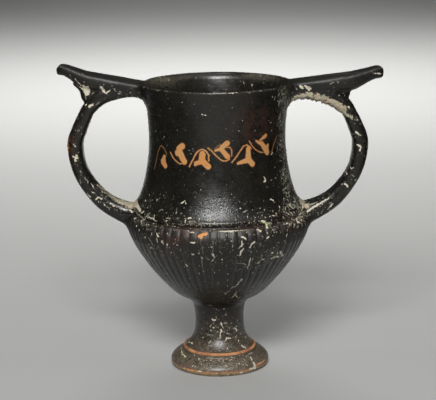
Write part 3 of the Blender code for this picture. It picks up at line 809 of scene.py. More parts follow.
def groove_depth(angle, height):
    """How deep the groove between two ribs cuts here. Each groove is cut a little differently."""
    turns = angle / math.tau * RIB_COUNT
    nearest = np.round(turns)
    share = np.abs(turns - nearest)
    fade = smoothstep(BELT_START, BELT_START + RIB_FADE_SHARE * BOWL_HEIGHT, height)
    uneven = GROOVE_LEAST + GROOVE_SPREAD * hashed(nearest % RIB_COUNT)
    cut = np.clip(1 - share / GROOVE_HALF_WIDTH, 0, 1) ** GROOVE_POWER
    return RIB_DEPTH * fade * uneven * ((1 - RIB_ROUND_SHARE) * cut + RIB_ROUND_SHARE * (1 - 2 * share))


def ring_faces(first, second):
    """Faces between two rings of vertices, whose counts are equal, one twice the other, or one."""
    n = len(first)
    m = len(second)
    if n == m:
        return [(first[i - 1], first[i], second[i], second[i - 1]) for i in range(n)]
    if n == 1:
        return [(first[0], second[i], second[i - 1]) for i in range(m)]
    if m == 1:
        return [(first[i - 1], first[i], second[0]) for i in range(n)]
    faces = []
    if m == 2 * n:
        for i, corner in enumerate(first):
            after = first[(i + 1) % n]
            low, middle, high = second[2 * i], second[2 * i + 1], second[(2 * i + 2) % m]
            faces += [(corner, middle, low), (corner, after, middle), (after, high, middle)]
        return faces
    for i, corner in enumerate(second):
        after = second[(i + 1) % m]
        low, middle, high = first[2 * i], first[2 * i + 1], first[(2 * i + 2) % n]
        faces += [(low, middle, corner), (corner, middle, after), (middle, high, after)]
    return faces


def side_faces(rings):
    return [face for pair in zip(rings, rings[1:]) for face in ring_faces(*pair)]


def turned(rows):
    """Points about the axis for rows of (radius, height, angles), and each row's ring of numbers."""
    points = []
    rings = []
    for radius, height, angles in rows:
        rings.append(range(len(points), len(points) + len(angles)))
        across = radius + 0 * angles
        points += list(zip(across * np.cos(angles), across * np.sin(angles), height + 0 * angles))
    return points, rings


def body_mesh():
    """The turned body with its ribs: (points, faces), with the axis at the middle."""
    rows = []
    for radius, height, columns in body_rows():
        angles = column_angles(columns)
        if radius < CLOSEST_ROWS / 2:
            rows.append((0.0, height, angles[:1]))
        elif columns > COLUMNS:
            rows.append((radius - groove_depth(angles, height), height, angles))
        else:
            rows.append((radius, height, angles))
    points, rings = turned(rows)
    return points, side_faces(rings)


def squared(value):
    """A sine or cosine drawn towards the corners of the square about the circle."""
    return math.copysign(abs(value) ** STRAP_ROUNDNESS, value)


def oval(length, width, count):
    """A rounded rectangle as places along its length and width."""
    turns = [math.tau * (step + 0.5) / count for step in range(count)]
    return [(squared(math.cos(turn)) * length / 2, squared(math.sin(turn)) * width / 2) for turn in turns]


def strap_rings(side):
    """Sections of the strap, square to its middle line."""
    furthest = HANDLE_REACH[side] - STRAP_THICKNESS / 2
    stations = []
    for root, shape in ((shoulder_radius(), LOWER_STRAP_SHAPE), (NECK_DIAMETER / 2, UPPER_STRAP_SHAPE)):
        for share, height, thickness, width in shape:
            x = root + share * (furthest - root)
            z = LEDGE + height * NECK_HEIGHT
            stations.append((x, z, thickness * STRAP_THICKNESS, width * STRAP_WIDTH))
    line = smooth_curve(stations)
    rings = []
    for i, (x, z, thickness, width) in enumerate(line):
        before = line[max(i - 1, 0)]
        after = line[min(i + 1, len(line) - 1)]
        run = math.hypot(after[0] - before[0], after[1] - before[1])
        out = ((after[1] - before[1]) / run, (before[0] - after[0]) / run)
        section = oval(thickness, width, STRAP_POINTS)
        rings.append([(side * (x + out[0] * t), w, z + out[1] * t) for t, w in section])
    return rings


def web_rings(side):
    """Level sections of the web, whose outer edge stands nearly upright."""
    rings = []
    for height, share in smooth_curve(WEB_SHAPE, 3):
        middle = WEB_REACH[side] * share - WEB_THICKNESS / 2
        section = oval(WEB_THICKNESS, WEB_WIDTH, WEB_POINTS)
        rings.append([(side * (middle + out), w, LEDGE + height * NECK_HEIGHT) for out, w in section])
    return rings


def spur_rings(side):
    """Sections of the thumb rest: a channelled top between two lips, and a narrower keel."""
    rim = RIM_DIAMETER / 2
    rings = []
    for share, height, width_share, thickness_share in smooth_curve(SPUR_SHAPE, 6):
        x = side * (rim + share * (SPUR_REACH[side] - rim))
        roll = SPUR_ROLL[side] * smoothstep(SPUR_ROLL_START, 1.0, share)
        top = RIM + height * SPUR_RISE[side] + roll
        half = SPUR_ROOT_WIDTH / 2 * width_share
        thickness = SPUR_THICKNESS * thickness_share + SPUR_ROLL_THICKENING * roll
        edge = min(thickness / 2, SPUR_THICKNESS / 4)
        channel = min(SPUR_CHANNEL_DEPTH * width_share, thickness / 3)
        section = []
        for across in np.linspace(-SPUR_FLAT_SHARE, SPUR_FLAT_SHARE, SPUR_TOP_POINTS):
            lip = channel * smoothstep(*SPUR_LIP, abs(across)) * SPUR_LIP_DROP
            dip = channel * (1 - smoothstep(*SPUR_CHANNEL, abs(across)))
            section.append((across, -dip - lip))
        section.append((1.0, -edge))
        section.append((SPUR_KEEL[0], -thickness / 2 - edge / 2))
        section += [(SPUR_KEEL[1], SPUR_KEEL_DROP * -thickness), (SPUR_KEEL[2], -thickness)]
        section += [(-across, down) for across, down in reversed(section[SPUR_TOP_POINTS:])]
        rings.append([(x, half * across, top + down) for across, down in section])
    return rings


def in_metres(points):
    """Points in millimetres about the vessel's axis as points of the model."""
    placed = np.asarray(points, float) * MM
    placed[:, 0] += AXIS_X * MM
    return placed


def make_object(name, points, faces):
    """A mesh object from points in millimetres about the vessel's axis."""
    mesh = bpy.data.meshes.new(name)
    mesh.from_pydata(in_metres(points).tolist(), [], faces)
    mesh.validate()
    thing = bpy.data.objects.new(name, mesh)
    bpy.context.scene.collection.objects.link(thing)
    return thing


def bake_modifiers(thing):
    graph = bpy.context.evaluated_depsgraph_get()
    mesh = bpy.data.meshes.new_from_object(thing.evaluated_get(graph))
    thing.modifiers.clear()
    thing.data = mesh


def read(items, name, width=3):
    """A property of a mesh's points or faces, with a row for each."""
    values = np.empty(len(items) * width, np.float32)
    items.foreach_get(name, values)
    return values.reshape(-1, width).astype(float)


def mesh_points(mesh):
    return read(mesh.vertices, "co") / MM - (AXIS_X, 0, 0)


def mesh_normals(mesh):
    return read(mesh.vertex_normals, "vector")


def mesh_edges(mesh):
    ends = np.empty(len(mesh.edges) * 2, np.int32)
    mesh.edges.foreach_get("vertices", ends)
    return ends.reshape(-1, 2)


def surface_tree(mesh):
    faces = [tuple(face.vertices) for face in mesh.polygons]
    return BVHTree.FromPolygons(mesh_points(mesh).tolist(), faces)


def set_points(mesh, points):
    mesh.vertices.foreach_set("co", in_metres(points).astype(np.float32).ravel())
    mesh.update()


def make_handle(side):
    """Strap, web and spur grown into one skin on an even grid."""
    points = []
    faces = []
    for sections in (strap_rings(side), web_rings(side), spur_rings(side)):
        rings = []
        for section in sections:
            rings.append(range(len(points), len(points) + len(section)))
            points += section
        closed = [*side_faces(rings), tuple(reversed(rings[0])), tuple(rings[-1])]
        faces += closed if side > 0 else [tuple(reversed(face)) for face in closed]
    handle = make_object(f"handle_{side}", points, faces)
    voxels = handle.modifiers.new("even grid", "REMESH")
    voxels.mode = "VOXEL"
    voxels.voxel_size = HANDLE_GRID * MM
    smooth = handle.modifiers.new("smooth", "SMOOTH")
    smooth.factor = 0.5
    smooth.iterations = HANDLE_SMOOTHING
    bake_modifiers(handle)
    return handle


def make_core():
    """A solid of the hollow, grown into the wall. It cuts the handles off there."""
    wall = [(max(radius + CORE_GROWTH, 0.0), height) for radius, height in inside_profile()[:-2]]
    mouth = wall[0][0] + CORE_MOUTH_GROWTH
    angles = np.arange(CORE_COLUMNS) * math.tau / CORE_COLUMNS
    outline = [(mouth, RIM + CORE_OVERSHOOT), (mouth, RIM), *wall]
    points, rings = turned([(radius, height, angles) for radius, height in outline])
    sides = [tuple(reversed(face)) for face in side_faces(rings)]
    return make_object("core", points, [tuple(rings[0]), *sides, tuple(reversed(rings[-1]))])


def boolean(thing, other, operation):
    modifier = thing.modifiers.new(operation.lower(), "BOOLEAN")
    modifier.object = other
    modifier.operation = operation
    modifier.solver = "MANIFOLD"
    bake_modifiers(thing)


def fillet(gap, reach):
    """How far a surface moves out at this gap from its neighbour, so that both meet in one curve."""
    gap = np.clip(gap, reach / 4, reach)
    return (np.sqrt(reach) - np.sqrt(gap)) ** 2


def fillet_reach(points):
    upper = smoothstep(LEDGE + FILLET_CHANGE[0], RIM - FILLET_CHANGE[1], points[:, 2])
    return LOWER_FILLET + (UPPER_FILLET - LOWER_FILLET) * upper


def gaps_to(points, thing):
    """Distance of each point from a mesh, zero inside it, and the nearest surface's normal."""
    tree = surface_tree(thing.data)
    gaps = np.full(len(points), FAR)
    normals = np.zeros((len(points), 3))
    for i, point in enumerate(points):
        found, normal, _, distance = tree.find_nearest(point, GAP_REACH)
        if found is None:
            continue
        inside = (Vector(point) - found).dot(normal) < 0
        gaps[i] = 0.0 if inside else distance
        normals[i] = normal
    return gaps, normals


def fillet_joints(body, handles):
    """Draws body and handles together where they meet, as wet clay is smoothed over a joint."""
    skin = mesh_points(body.data)
    skin_normals = mesh_normals(body.data)
    reach = fillet_reach(skin)
    lift = np.zeros(len(skin))
    outer = (skin_normals * skin * (1, 1, 0)).sum(axis=1) > 0
    around = (np.abs(skin[:, 1]) < JOINT_HALF_WIDTH) & (skin[:, 2] > LEDGE - JOINT_DROP)
    near = np.flatnonzero(outer & around)
    moved = []
    for handle in handles:
        gaps, _ = gaps_to(skin[near], handle)
        lift[near] = np.maximum(lift[near], fillet(gaps, reach[near]))
        points = mesh_points(handle.data)
        normals = mesh_normals(handle.data)
        close = np.flatnonzero(np.hypot(points[:, 0], points[:, 1]) < JOINT_RADIUS)
        gaps, walls = gaps_to(points[close], body)
        sideways = 1 - np.abs((normals[close] * walls).sum(axis=1)) ** 2
        upward = 1 - smoothstep(*FACING_UP, normals[close, 2])
        out = fillet(gaps, fillet_reach(points[close])) * sideways * upward
        points[close] += normals[close] * out[:, None]
        moved.append(points)
    lift *= 1 - smoothstep(*FACING_UP, skin_normals[:, 2])
    set_points(body.data, skin + skin_normals * lift[:, None])
    for handle, points in zip(handles, moved):
        set_points(handle.data, points)


def make_vessel():
    body = make_object("kantharos_skin", *body_mesh())
    core = make_core()
    handles = [make_handle(-1), make_handle(1)]
    fillet_joints(body, handles)
    for handle in handles:
        boolean(handle, core, "DIFFERENCE")
        boolean(body, handle, "UNION")
    for helper in (core, *handles):
        bpy.data.objects.remove(helper, do_unlink=True)
    soften_joints(body.data)
    return body


def neighbour_means(values, ends):
    """The mean of each point's neighbours, for values that have a row for each point."""
    count = np.bincount(ends.ravel(), minlength=len(values))
    columns = []
    for column in values.T:
        total = np.bincount(ends[:, 0], column[ends[:, 1]], len(values))
        total += np.bincount(ends[:, 1], column[ends[:, 0]], len(values))
        columns.append(total / np.maximum(count, 1))
    return np.stack(columns, axis=1)


def soften_joints(mesh):
    """Smooths the clay where the handles grow out of rim and shoulder."""
    points = mesh_points(mesh)
    ends = mesh_edges(mesh)
    weight = np.zeros(len(points))
    for x, z, full, none in JOINTS:
        away = np.hypot(np.hypot(np.abs(points[:, 0]) - x, points[:, 1]), points[:, 2] - z)
        weight = np.maximum(weight, 1 - smoothstep(full, none, away))
    for _ in range(JOINT_SMOOTHING):
        points += 0.5 * weight[:, None] * (neighbour_means(points, ends) - points)
    set_points(mesh, points)


def camera_turn():
    tilt = Euler((math.radians(90) - CAMERA_TILT, 0, 0)).to_matrix()
    return tilt @ Matrix.Rotation(-CAMERA_ROLL, 3, "Z")


def in_photo(points):
    """Where points about the vessel's axis show in the photograph, in pixels."""
    seen = (points - np.array(CAMERA_PLACE)) @ np.array(camera_turn())
    across = PHOTO_WIDTH / 2 - FOCAL_PIXELS * seen[:, 0] / seen[:, 2]
    down = PHOTO_HEIGHT / 2 + FOCAL_PIXELS * seen[:, 1] / seen[:, 2]
    return across, down


def on_vessel(tree, x, y):
    """The point of the vessel that a pixel of the photograph shows, and the size of a pixel there."""
    sight = Vector(((x - PHOTO_WIDTH / 2) / FOCAL_PIXELS, (PHOTO_HEIGHT / 2 - y) / FOCAL_PIXELS, -1.0))
    way = camera_turn() @ sight
    camera = Vector(CAMERA_PLACE)
    found = tree.ray_cast(camera, way)[0]
    if found is None:
        found = tree.find_nearest(camera + way * CAMERA_PLACE[1] / way[1] * -1)[0]
    return found, (found - camera).length / FOCAL_PIXELS


def traced(tree, tone, pixels, widening=1.0):
    """Strokes over the vessel along x, y, radius in pixels: start, end, both radii and the tone."""
    pixels = np.reshape(pixels, (-1, 3)) * (1, 1, widening)
    steps = [pixels[0]]
    for start, end in zip(pixels, pixels[1:]):
        count = max(1, round(math.dist(start[:2], end[:2]) / STROKE_STEP))
        for k in range(1, count + 1):
            steps.append([np.interp(k, (0, count), pair) for pair in zip(start, end)])
    spots = [(*on_vessel(tree, x, y), radius) for x, y, radius in steps]
    strokes = []
    for (start, start_pixel, r0), (end, end_pixel, r1) in zip(spots, spots[1:] or spots):
        strokes.append((*start, *end, r0 * start_pixel, r1 * end_pixel, tone))
    return strokes


def ivy_strokes(tree):
    """The garland as painted on the front, and again on the back without its faintest strokes."""
    strokes = traced(tree, PINK_IVY, IVY_PALE_LOBE)
    for pixels in IVY_LEAVES:
        strokes += traced(tree, FULL_IVY, pixels, LEAF_WIDENING)
    for radius, tone, pixels in IVY_TENDRILS:
        places = [(x, y, radius) for x, y in np.reshape(pixels, (-1, 2))]
        strokes += traced(tree, TENDRIL_TONE * tone, places, TENDRIL_WIDENING)
    front = np.array(strokes)
    back = front[front[:, -1] > FAINT_IVY]
    return np.vstack([front, back * (-1, -1, 1, -1, -1, 1, 1, 1, 1)])


def mark_and_highlight_strokes(tree):
    """The marks of the photograph with their painted highlights, and the worn outer edge of the lip with
    the painted highlight along its front.
    """
    strokes = []
    for marks_and_highlights in (HANDLE_MARKS_AND_HIGHLIGHTS, NECK_MARKS, BOWL_MARKS_AND_HIGHLIGHTS, FOOT_MARKS_AND_HIGHLIGHTS, {CLAY: CHIPS}):
        for tone, places in marks_and_highlights.items():
            for pixels in places:
                strokes += traced(tree, tone, pixels)
    # The lip's edge: wear, and a painted highlight along its front where the stretches are widest and
    # palest
    edge = RIM_DIAMETER / 2 - LIP_WEAR_AND_HIGHLIGHT_INSET
    for start, end, radius, tone in LIP_WEAR_AND_HIGHLIGHT:
        turns = np.radians(np.arange(start, end + 1, LIP_WEAR_AND_HIGHLIGHT_STEP))
        spots = [(edge * math.cos(turn), edge * math.sin(turn), RIM - LIP_WEAR_AND_HIGHLIGHT_DROP) for turn in turns]
        strokes += [(*first, *second, radius, radius, tone) for first, second in zip(spots, spots[1:])]
    return strokes


def soft_spots(points, places):
    """The sum of the photograph's soft spots at each point."""
    across, down = in_photo(points)
    share = np.zeros(len(points))
    for x, y, wide, high, amount in places:
        share += amount * np.exp(-((across - x) / wide) ** 2 - ((down - y) / high) ** 2)
    return share


def place_share(points, places):
    """The soft spots on the vessel's outside. The back takes the front's, weaker."""
    front = points * (1, 0, 1) - np.abs(points) * (0, 1, 0)
    return soft_spots(front, places) * np.where(points[:, 1] > 0, HIDDEN_SHARE, 1.0)


def faces_in(points, normals):
    """Where the skin faces the vessel's axis."""
    return (points * normals * (1, 1, 0)).sum(axis=1) < 0


def mouth_share(points, normals):
    """The soft spots on the inner wall that the photograph shows over the front lip."""
    shown = faces_in(points, normals) & (points[:, 1] > 0) & (points[:, 2] > LEDGE)
    return soft_spots(points, MOUTH_PLACES) * shown


def drawn(draw, spread, count):
    """Random numbers about a middle, kept between a least and a most."""
    middle, width, least, most = spread
    return np.clip(draw(middle, width, count), least, most)


def scattered_strokes(centres, normals, areas):
    """Short scratches and specks of deposit, strewn as densely as each place is worn."""
    random = np.random.default_rng(SEED)
    amount = PLAIN_AMOUNT + place_share(centres, WORN_PLACES)
    inside = faces_in(centres, normals) & (np.hypot(centres[:, 0], centres[:, 1]) < BOWL_DIAMETER / 2)
    amount = np.where(inside, PLAIN_AMOUNT, amount) + MOUTH_SCATTER * mouth_share(centres, normals)
    chosen = np.repeat(np.arange(len(centres)), random.poisson(amount * areas))
    count = len(chosen)
    normal = normals[chosen]
    across = np.cross(normal, random.normal(size=(count, 3)))
    across /= np.linalg.norm(across, axis=1, keepdims=True)
    upright = np.array((0, 0, 1.0)) - normal * normal[:, 2:]
    ribbed = (centres[chosen, 2] > BELT_START) & (random.random(count) < UPRIGHT_SHARE)
    across = np.where(ribbed[:, None], upright + UPRIGHT_LEAN * across, across)
    busy = np.clip(amount[chosen], 0, 1)
    length = drawn(random.lognormal, SCRATCH_LENGTH, count) * (PLAIN_LENGTH + LONGER_BY_WEAR * busy)
    radius = drawn(random.lognormal, SCRATCH_RADIUS, count) * (1 + WIDER_BY_WEAR * busy)
    tone = random.normal(*SCRATCH_TONE, count) + PALER_BY_RADIUS * (radius - SCRATCH_RADIUS_MIDDLE)
    tone = np.clip(tone + PALER_BY_WEAR * busy, DIM, CREAM)
    start = centres[chosen]
    end = start + across * length[:, None]
    turn = random.uniform(*SCRATCH_BEND, count) * np.sign(random.random(count) - 0.5)
    side = np.cross(normal, across)
    bent = across * np.cos(turn)[:, None] + side * np.sin(turn)[:, None]
    tip = end + bent * (length * random.uniform(*SCRATCH_TIP, count))[:, None]
    first = np.column_stack([start, end, radius * START_THINNING, radius, tone])
    second = np.column_stack([end, tip, radius, radius * TIP_THINNING, tone])
    return np.vstack([first, second[random.random(count) < BENT_SHARE]])


def stroke_gaps(points, stroke):
    """Each point's distance from a stroke's edge, below zero on the stroke."""
    start = stroke[0:3]
    along = stroke[3:6] - start
    length = max(along @ along, SHORTEST_STROKE)
    share = np.clip((points - start) @ along / length, 0, 1)
    radius = stroke[6] + share * (stroke[7] - stroke[6])
    return np.linalg.norm(points - start - share[:, None] * along, axis=1) - radius


def nearest_strokes(tree, centres, strokes):
    """The numbers of the strokes that lie nearest to each face, the nearest first, or -1."""
    gaps = np.full((len(centres), STROKE_SLOTS), np.inf)
    numbers = np.full((len(centres), STROKE_SLOTS), -1)
    for number, stroke in enumerate(strokes):
        middle = (stroke[0:3] + stroke[3:6]) / 2
        reach = np.linalg.norm(stroke[3:6] - middle) + max(stroke[6:8]) + STROKE_REACH
        found = np.array([index for _, index, _ in tree.find_range(middle, reach)], int)
        if not len(found):
            continue
        gap = stroke_gaps(centres[found], stroke)
        current = np.full(len(found), number)
        for slot in range(STROKE_SLOTS):
            held_gap = gaps[found, slot]
            held_number = numbers[found, slot]
            closer = gap < held_gap
            gaps[found, slot] = np.where(closer, gap, held_gap)
            numbers[found, slot] = np.where(closer, current, held_number)
            gap = np.where(closer, held_gap, gap)
            current = np.where(closer, held_number, current)
    return numbers


def store(mesh, name, values, domain):
    attribute = mesh.attributes.new(name, "FLOAT_VECTOR", domain)
    attribute.data.foreach_set("vector", np.asarray(values, np.float32).ravel())


def store_strokes(mesh, layer, tree, centres, strokes):
    """Writes the nearest strokes on each face, where the glaze reads them."""
    numbers = nearest_strokes(tree, centres, strokes)
    rows = np.vstack([strokes, NO_STROKE])
    for slot in range(STROKE_SLOTS):
        row = rows[numbers[:, slot]]
        for part, name in enumerate(STROKE_PARTS):
            store(mesh, f"{layer}_{name}_{slot}", row[:, 3 * part:3 * part + 3], "FACE")


def gaps_from(points, strokes):
    """Each point's distance from the edge of the nearest of all strokes."""
    gaps = np.full(len(points), FAR)
    for stroke in strokes:
        near = np.linalg.norm(points - (stroke[0:3] + stroke[3:6]) / 2, axis=1) < CRUST_REACH
        gaps[near] = np.minimum(gaps[near], stroke_gaps(points[near], stroke))
    return gaps


def crust_strokes(tree):
    """The crusts of the photograph, drawn out over the width of the strap that carries them."""
    strokes = []
    for pixels in CRUSTS:
        for stroke in np.array(traced(tree, CREAM, pixels)):
            for across in np.linspace(-CRUST_WIDTH, CRUST_WIDTH, CRUST_STRIPES):
                thinning = 1.0 - CRUST_THINNING * smoothstep(CRUST_FULL_TO, CRUST_WIDTH, across)
                start = (stroke[0], across, stroke[2])
                end = (stroke[3], across, stroke[5])
                strokes.append((*start, *end, *(thinning * stroke[6:8]), stroke[8]))
    return np.array(strokes)


def turning(mesh):
    """How sharply the skin turns out, as on an arris, and in, as in a groove: 0 where it is flat."""
    points = mesh_points(mesh)
    normals = mesh_normals(mesh)
    ends = mesh_edges(mesh)
    lengths = np.linalg.norm(points[ends[:, 0]] - points[ends[:, 1]], axis=1)
    around = np.bincount(ends.ravel(), np.repeat(lengths, 2), len(points))
    around /= np.maximum(np.bincount(ends.ravel(), minlength=len(points)), 1)
    inward = points - neighbour_means(points, ends)
    bulge = (inward * normals).sum(axis=1) / np.maximum(around, SHORTEST_EDGE)
    sharp = np.column_stack([smoothstep(*ARRIS_BULGE, bulge), smoothstep(*GROOVE_BULGE, -bulge)])
    for _ in range(2):
        sharp = 0.5 * sharp + 0.5 * neighbour_means(sharp, ends)
    return sharp.T


def noise_at(points, size):
    """Smooth noise whose bumps are of the given size, the same each time."""
    return np.array([noise.noise(Vector(point) / size) for point in points])


def relief(points, normals, crust, chips):
    """How far the skin stands out or lies back for crust, chips and the hand-made clay."""
    rough = noise_at(points, ROUGHNESS_SIZE)
    hanging = CRUST_HEIGHT + CRUST_HANG * np.clip(-normals[:, 2], 0, 1)
    lumpy = CRUST_EVEN + CRUST_LUMPY * rough
    rise = hanging * smoothstep(*CRUST_EDGE, crust + CRUST_RAGGED * rough) * lumpy
    rise -= CHIP_DEPTH * smoothstep(*CHIP_EDGE, chips)
    return rise + UNEVENNESS * noise_at(points, UNEVENNESS_SIZE)


def weather(mesh):
    """Builds up the crusts, breaks out the chips and writes what the glaze needs on the mesh."""
    tree = surface_tree(mesh)
    points = mesh_points(mesh)
    normals = mesh_normals(mesh)
    crust = gaps_from(points, crust_strokes(tree))
    chip_strokes = [stroke for pixels in CHIPS for stroke in traced(tree, CLAY, pixels)]
    chips = gaps_from(points, np.array(chip_strokes))
    marks_and_highlights = mark_and_highlight_strokes(tree)
    garland = ivy_strokes(tree)
    set_points(mesh, points + normals * relief(points, normals, crust, chips)[:, None])
    centres = read(mesh.polygons, "center") / MM - (AXIS_X, 0, 0)
    areas = read(mesh.polygons, "area", 1)[:, 0] / MM**2
    faces = KDTree(len(centres))
    for index, centre in enumerate(centres):
        faces.insert(centre, index)
    faces.balance()
    strewn = scattered_strokes(centres, read(mesh.polygons, "normal"), areas)
    # The mark layer holds scratches, specks and deposit, and painted highlights on lit edges
    store_strokes(mesh, "mark", faces, centres, np.vstack([marks_and_highlights, strewn]))
    store_strokes(mesh, "ivy", faces, centres, garland)
    edge, hollow = turning(mesh)
    mouth = mouth_share(points, normals)
    shares = [place_share(points, places) for places in (WORN_PLACES, RED_PLACES, GRAIN_PLACES)]
    store(mesh, "wear", np.column_stack(shares), "POINT")
    store(mesh, "form", np.column_stack([edge, crust, hollow]), "POINT")
    store(mesh, "mouth", np.column_stack([mouth] * 3), "POINT")


class Graph:
    """Adds nodes to a node tree. A value given for an input is a number, a colour or an output."""

    def __init__(self, tree):
        self.tree = tree

    def node(self, kind, *values, **settings):
        made = self.tree.nodes.new("ShaderNode" + kind)
        for name, value in settings.items():
            setattr(made, name, value)
        for socket, value in zip(made.inputs, values):
            self.feed(socket, value)
        return made

    def feed(self, socket, value):
        if isinstance(value, bpy.types.NodeSocket):
            self.tree.links.new(value, socket)
        elif value is not None:
            socket.default_value = value

    def maths(self, operation, *values):
        return self.node("Math", *values, operation=operation).outputs[0]

    def times(self, first, *others):
        for other in others:
            first = self.maths("MULTIPLY", first, other)
        return first

    def most(self, first, *others):
        for other in others:
            first = self.maths("MAXIMUM", first, other)
        return first

    def more(self, base, share, amount):
        """The base and a share of an amount."""
        return self.maths("MULTIPLY_ADD", share, amount, base)

    def vectors(self, operation, *values):
        made = self.node("VectorMath", *values, operation=operation)
        return made.outputs["Value" if operation in ("LENGTH", "DOT_PRODUCT") else "Vector"]

    def ramp(self, value, low, high, start=0.0, end=1.0):
        """A soft step from start to end as the value goes from low to high."""
        made = self.node("MapRange", value, low, high, start, end, interpolation_type="SMOOTHSTEP")
        return made.outputs[0]

    def band(self, value, low, high):
        """One where the value lies between low and high, with soft sides."""
        rise = self.ramp(value, low - BAND_SOFTNESS, low + BAND_SOFTNESS)
        fall = self.ramp(value, high - BAND_SOFTNESS, high + BAND_SOFTNESS, 1.0, 0.0)
        return self.times(rise, fall)

    def noise(self, place, scale, detail=3.0, roughness=0.6):
        return self.node("TexNoise", place, None, scale, detail, roughness).outputs[0]

    def blend(self, share, first, second):
        made = self.node("Mix", data_type="RGBA")
        for socket, value in zip((made.inputs[0], made.inputs[6], made.inputs[7]), (share, first, second)):
            self.feed(socket, value)
        return made.outputs[2]

    def mean(self, share, first, second):
        return self.node("Mix", share, None, first, second, data_type="FLOAT").outputs[0]

    def attribute(self, name):
        return self.node("Attribute", attribute_name=name).outputs["Vector"]

    def parts(self, vector):
        return self.node("SeparateXYZ", vector).outputs


def stroke_group():
    """A node group: how far a point lies from a stroke's edge, below zero on the stroke."""
    tree = bpy.data.node_groups.new("stroke distance", "ShaderNodeTree")
    for name in ("Point", "Start", "End", "Size"):
        tree.interface.new_socket(name, in_out="INPUT", socket_type="NodeSocketVector")
    tree.interface.new_socket("Distance", in_out="OUTPUT", socket_type="NodeSocketFloat")
    point, start, end, size = tree.nodes.new("NodeGroupInput").outputs[:4]
    graph = Graph(tree)
    along = graph.vectors("SUBTRACT", end, start)
    out = graph.vectors("SUBTRACT", point, start)
    covered = graph.vectors("DOT_PRODUCT", out, along)
    length = graph.maths("MAXIMUM", graph.vectors("DOT_PRODUCT", along, along), SHORTEST_STROKE)
    share = graph.node("Math", covered, length, operation="DIVIDE", use_clamp=True).outputs[0]
    nearest = graph.vectors("SCALE", along, None, None, share)
    gap = graph.vectors("LENGTH", graph.vectors("SUBTRACT", out, nearest))
    first, second, _ = graph.parts(size)
    radius = graph.mean(share, first, second)
    tree.links.new(graph.maths("SUBTRACT", gap, radius), tree.nodes.new("NodeGroupOutput").inputs[0])
    return tree


class Skin(Graph):
    """What the layers of the glaze read: place, wear and form of the skin, and noises."""

    def __init__(self, tree):
        super().__init__(tree)
        local = self.node("TexCoord").outputs["Object"]
        self.place = self.vectors("MULTIPLY_ADD", local, (1 / MM,) * 3, (-AXIS_X, 0, 0))
        x, y, self.height = self.parts(self.place)
        self.radius = self.maths("SQRT", self.maths("ADD", self.times(x, x), self.times(y, y)))
        self.worn, self.red, self.grain = self.parts(self.attribute("wear"))
        self.edge, self.crust, self.hollow = self.parts(self.attribute("form"))
        self.mouth = self.parts(self.attribute("mouth"))[0]
        self.clouds = self.noise(self.place, 0.055, 4.0)
        self.patches = self.noise(self.place, 0.22, 4.0)
        self.specks = self.noise(self.place, 1.1, 3.0, 0.65)
        self.fine = self.noise(self.place, 3.2)
        self.wheel = self.noise(self.vectors("MULTIPLY", self.place, (0.02, 0.02, 1.6)), 1.0)
        self.ragged = self.more(-0.25, self.fine, 0.5)
        self.low = self.ramp(self.height, *LOW_HEIGHTS)
        self.strokes = stroke_group()

    def nearest_stroke(self, drift, layer):
        """The distance from the nearest of a face's strokes of one layer, and that stroke's tone.

        The place is moved about a little by smooth noise, so that the strokes have uneven lines.
        """
        swirl = self.node("TexNoise", self.place, None, 0.55, 2.0, 0.5).outputs["Color"]
        away = self.vectors("SUBTRACT", swirl, (0.5,) * 3)
        place = self.vectors("MULTIPLY_ADD", away, (drift,) * 3, self.place)
        distance = None
        for slot in range(STROKE_SLOTS):
            ends_and_size = [self.attribute(f"{layer}_{name}_{slot}") for name in STROKE_PARTS]
            gap = self.node("Group", node_tree=self.strokes)
            for socket, value in zip(gap.inputs, (place, *ends_and_size)):
                self.feed(socket, value)
            gap = gap.outputs[0]
            tone = self.parts(ends_and_size[-1])[2]
            if distance is None:
                distance, shade = gap, tone
                continue
            shade = self.mean(self.maths("LESS_THAN", gap, distance), shade, tone)
            distance = self.maths("MINIMUM", distance, gap)
        return distance, shade

    def tone_colours(self, tone, stops):
        """The colour of a tone on a scale of colours."""
        made = self.node("ValToRGB", tone)
        elements = made.color_ramp.elements
        while len(elements) < len(stops):
            elements.new(0.5)
        for element, (position, colour) in zip(elements, stops):
            element.position = position
            element.color = (*colour, 1)
        return made.outputs[0]


def fired_glaze(skin):
    """Black and olive, brown along the wheel's lines, red in places and thin on the foot."""
    colour = skin.blend(skin.ramp(skin.clouds, 0.35, 0.65), GLAZE_BLACK, GLAZE_OLIVE)
    colour = skin.blend(skin.ramp(skin.wheel, 0.5, 0.8, 0.0, 0.5), colour, GLAZE_BROWN)
    reddened = skin.times(skin.red, skin.ramp(skin.patches, 0.30, 0.62))
    colour = skin.blend(skin.ramp(reddened, 0.0, 0.9), colour, GLAZE_RED)
    thin = skin.times(skin.low, skin.low, skin.ramp(skin.patches, 0.30, 0.66, 0.35, 1.0))
    return skin.blend(thin, colour, GLAZE_THIN)


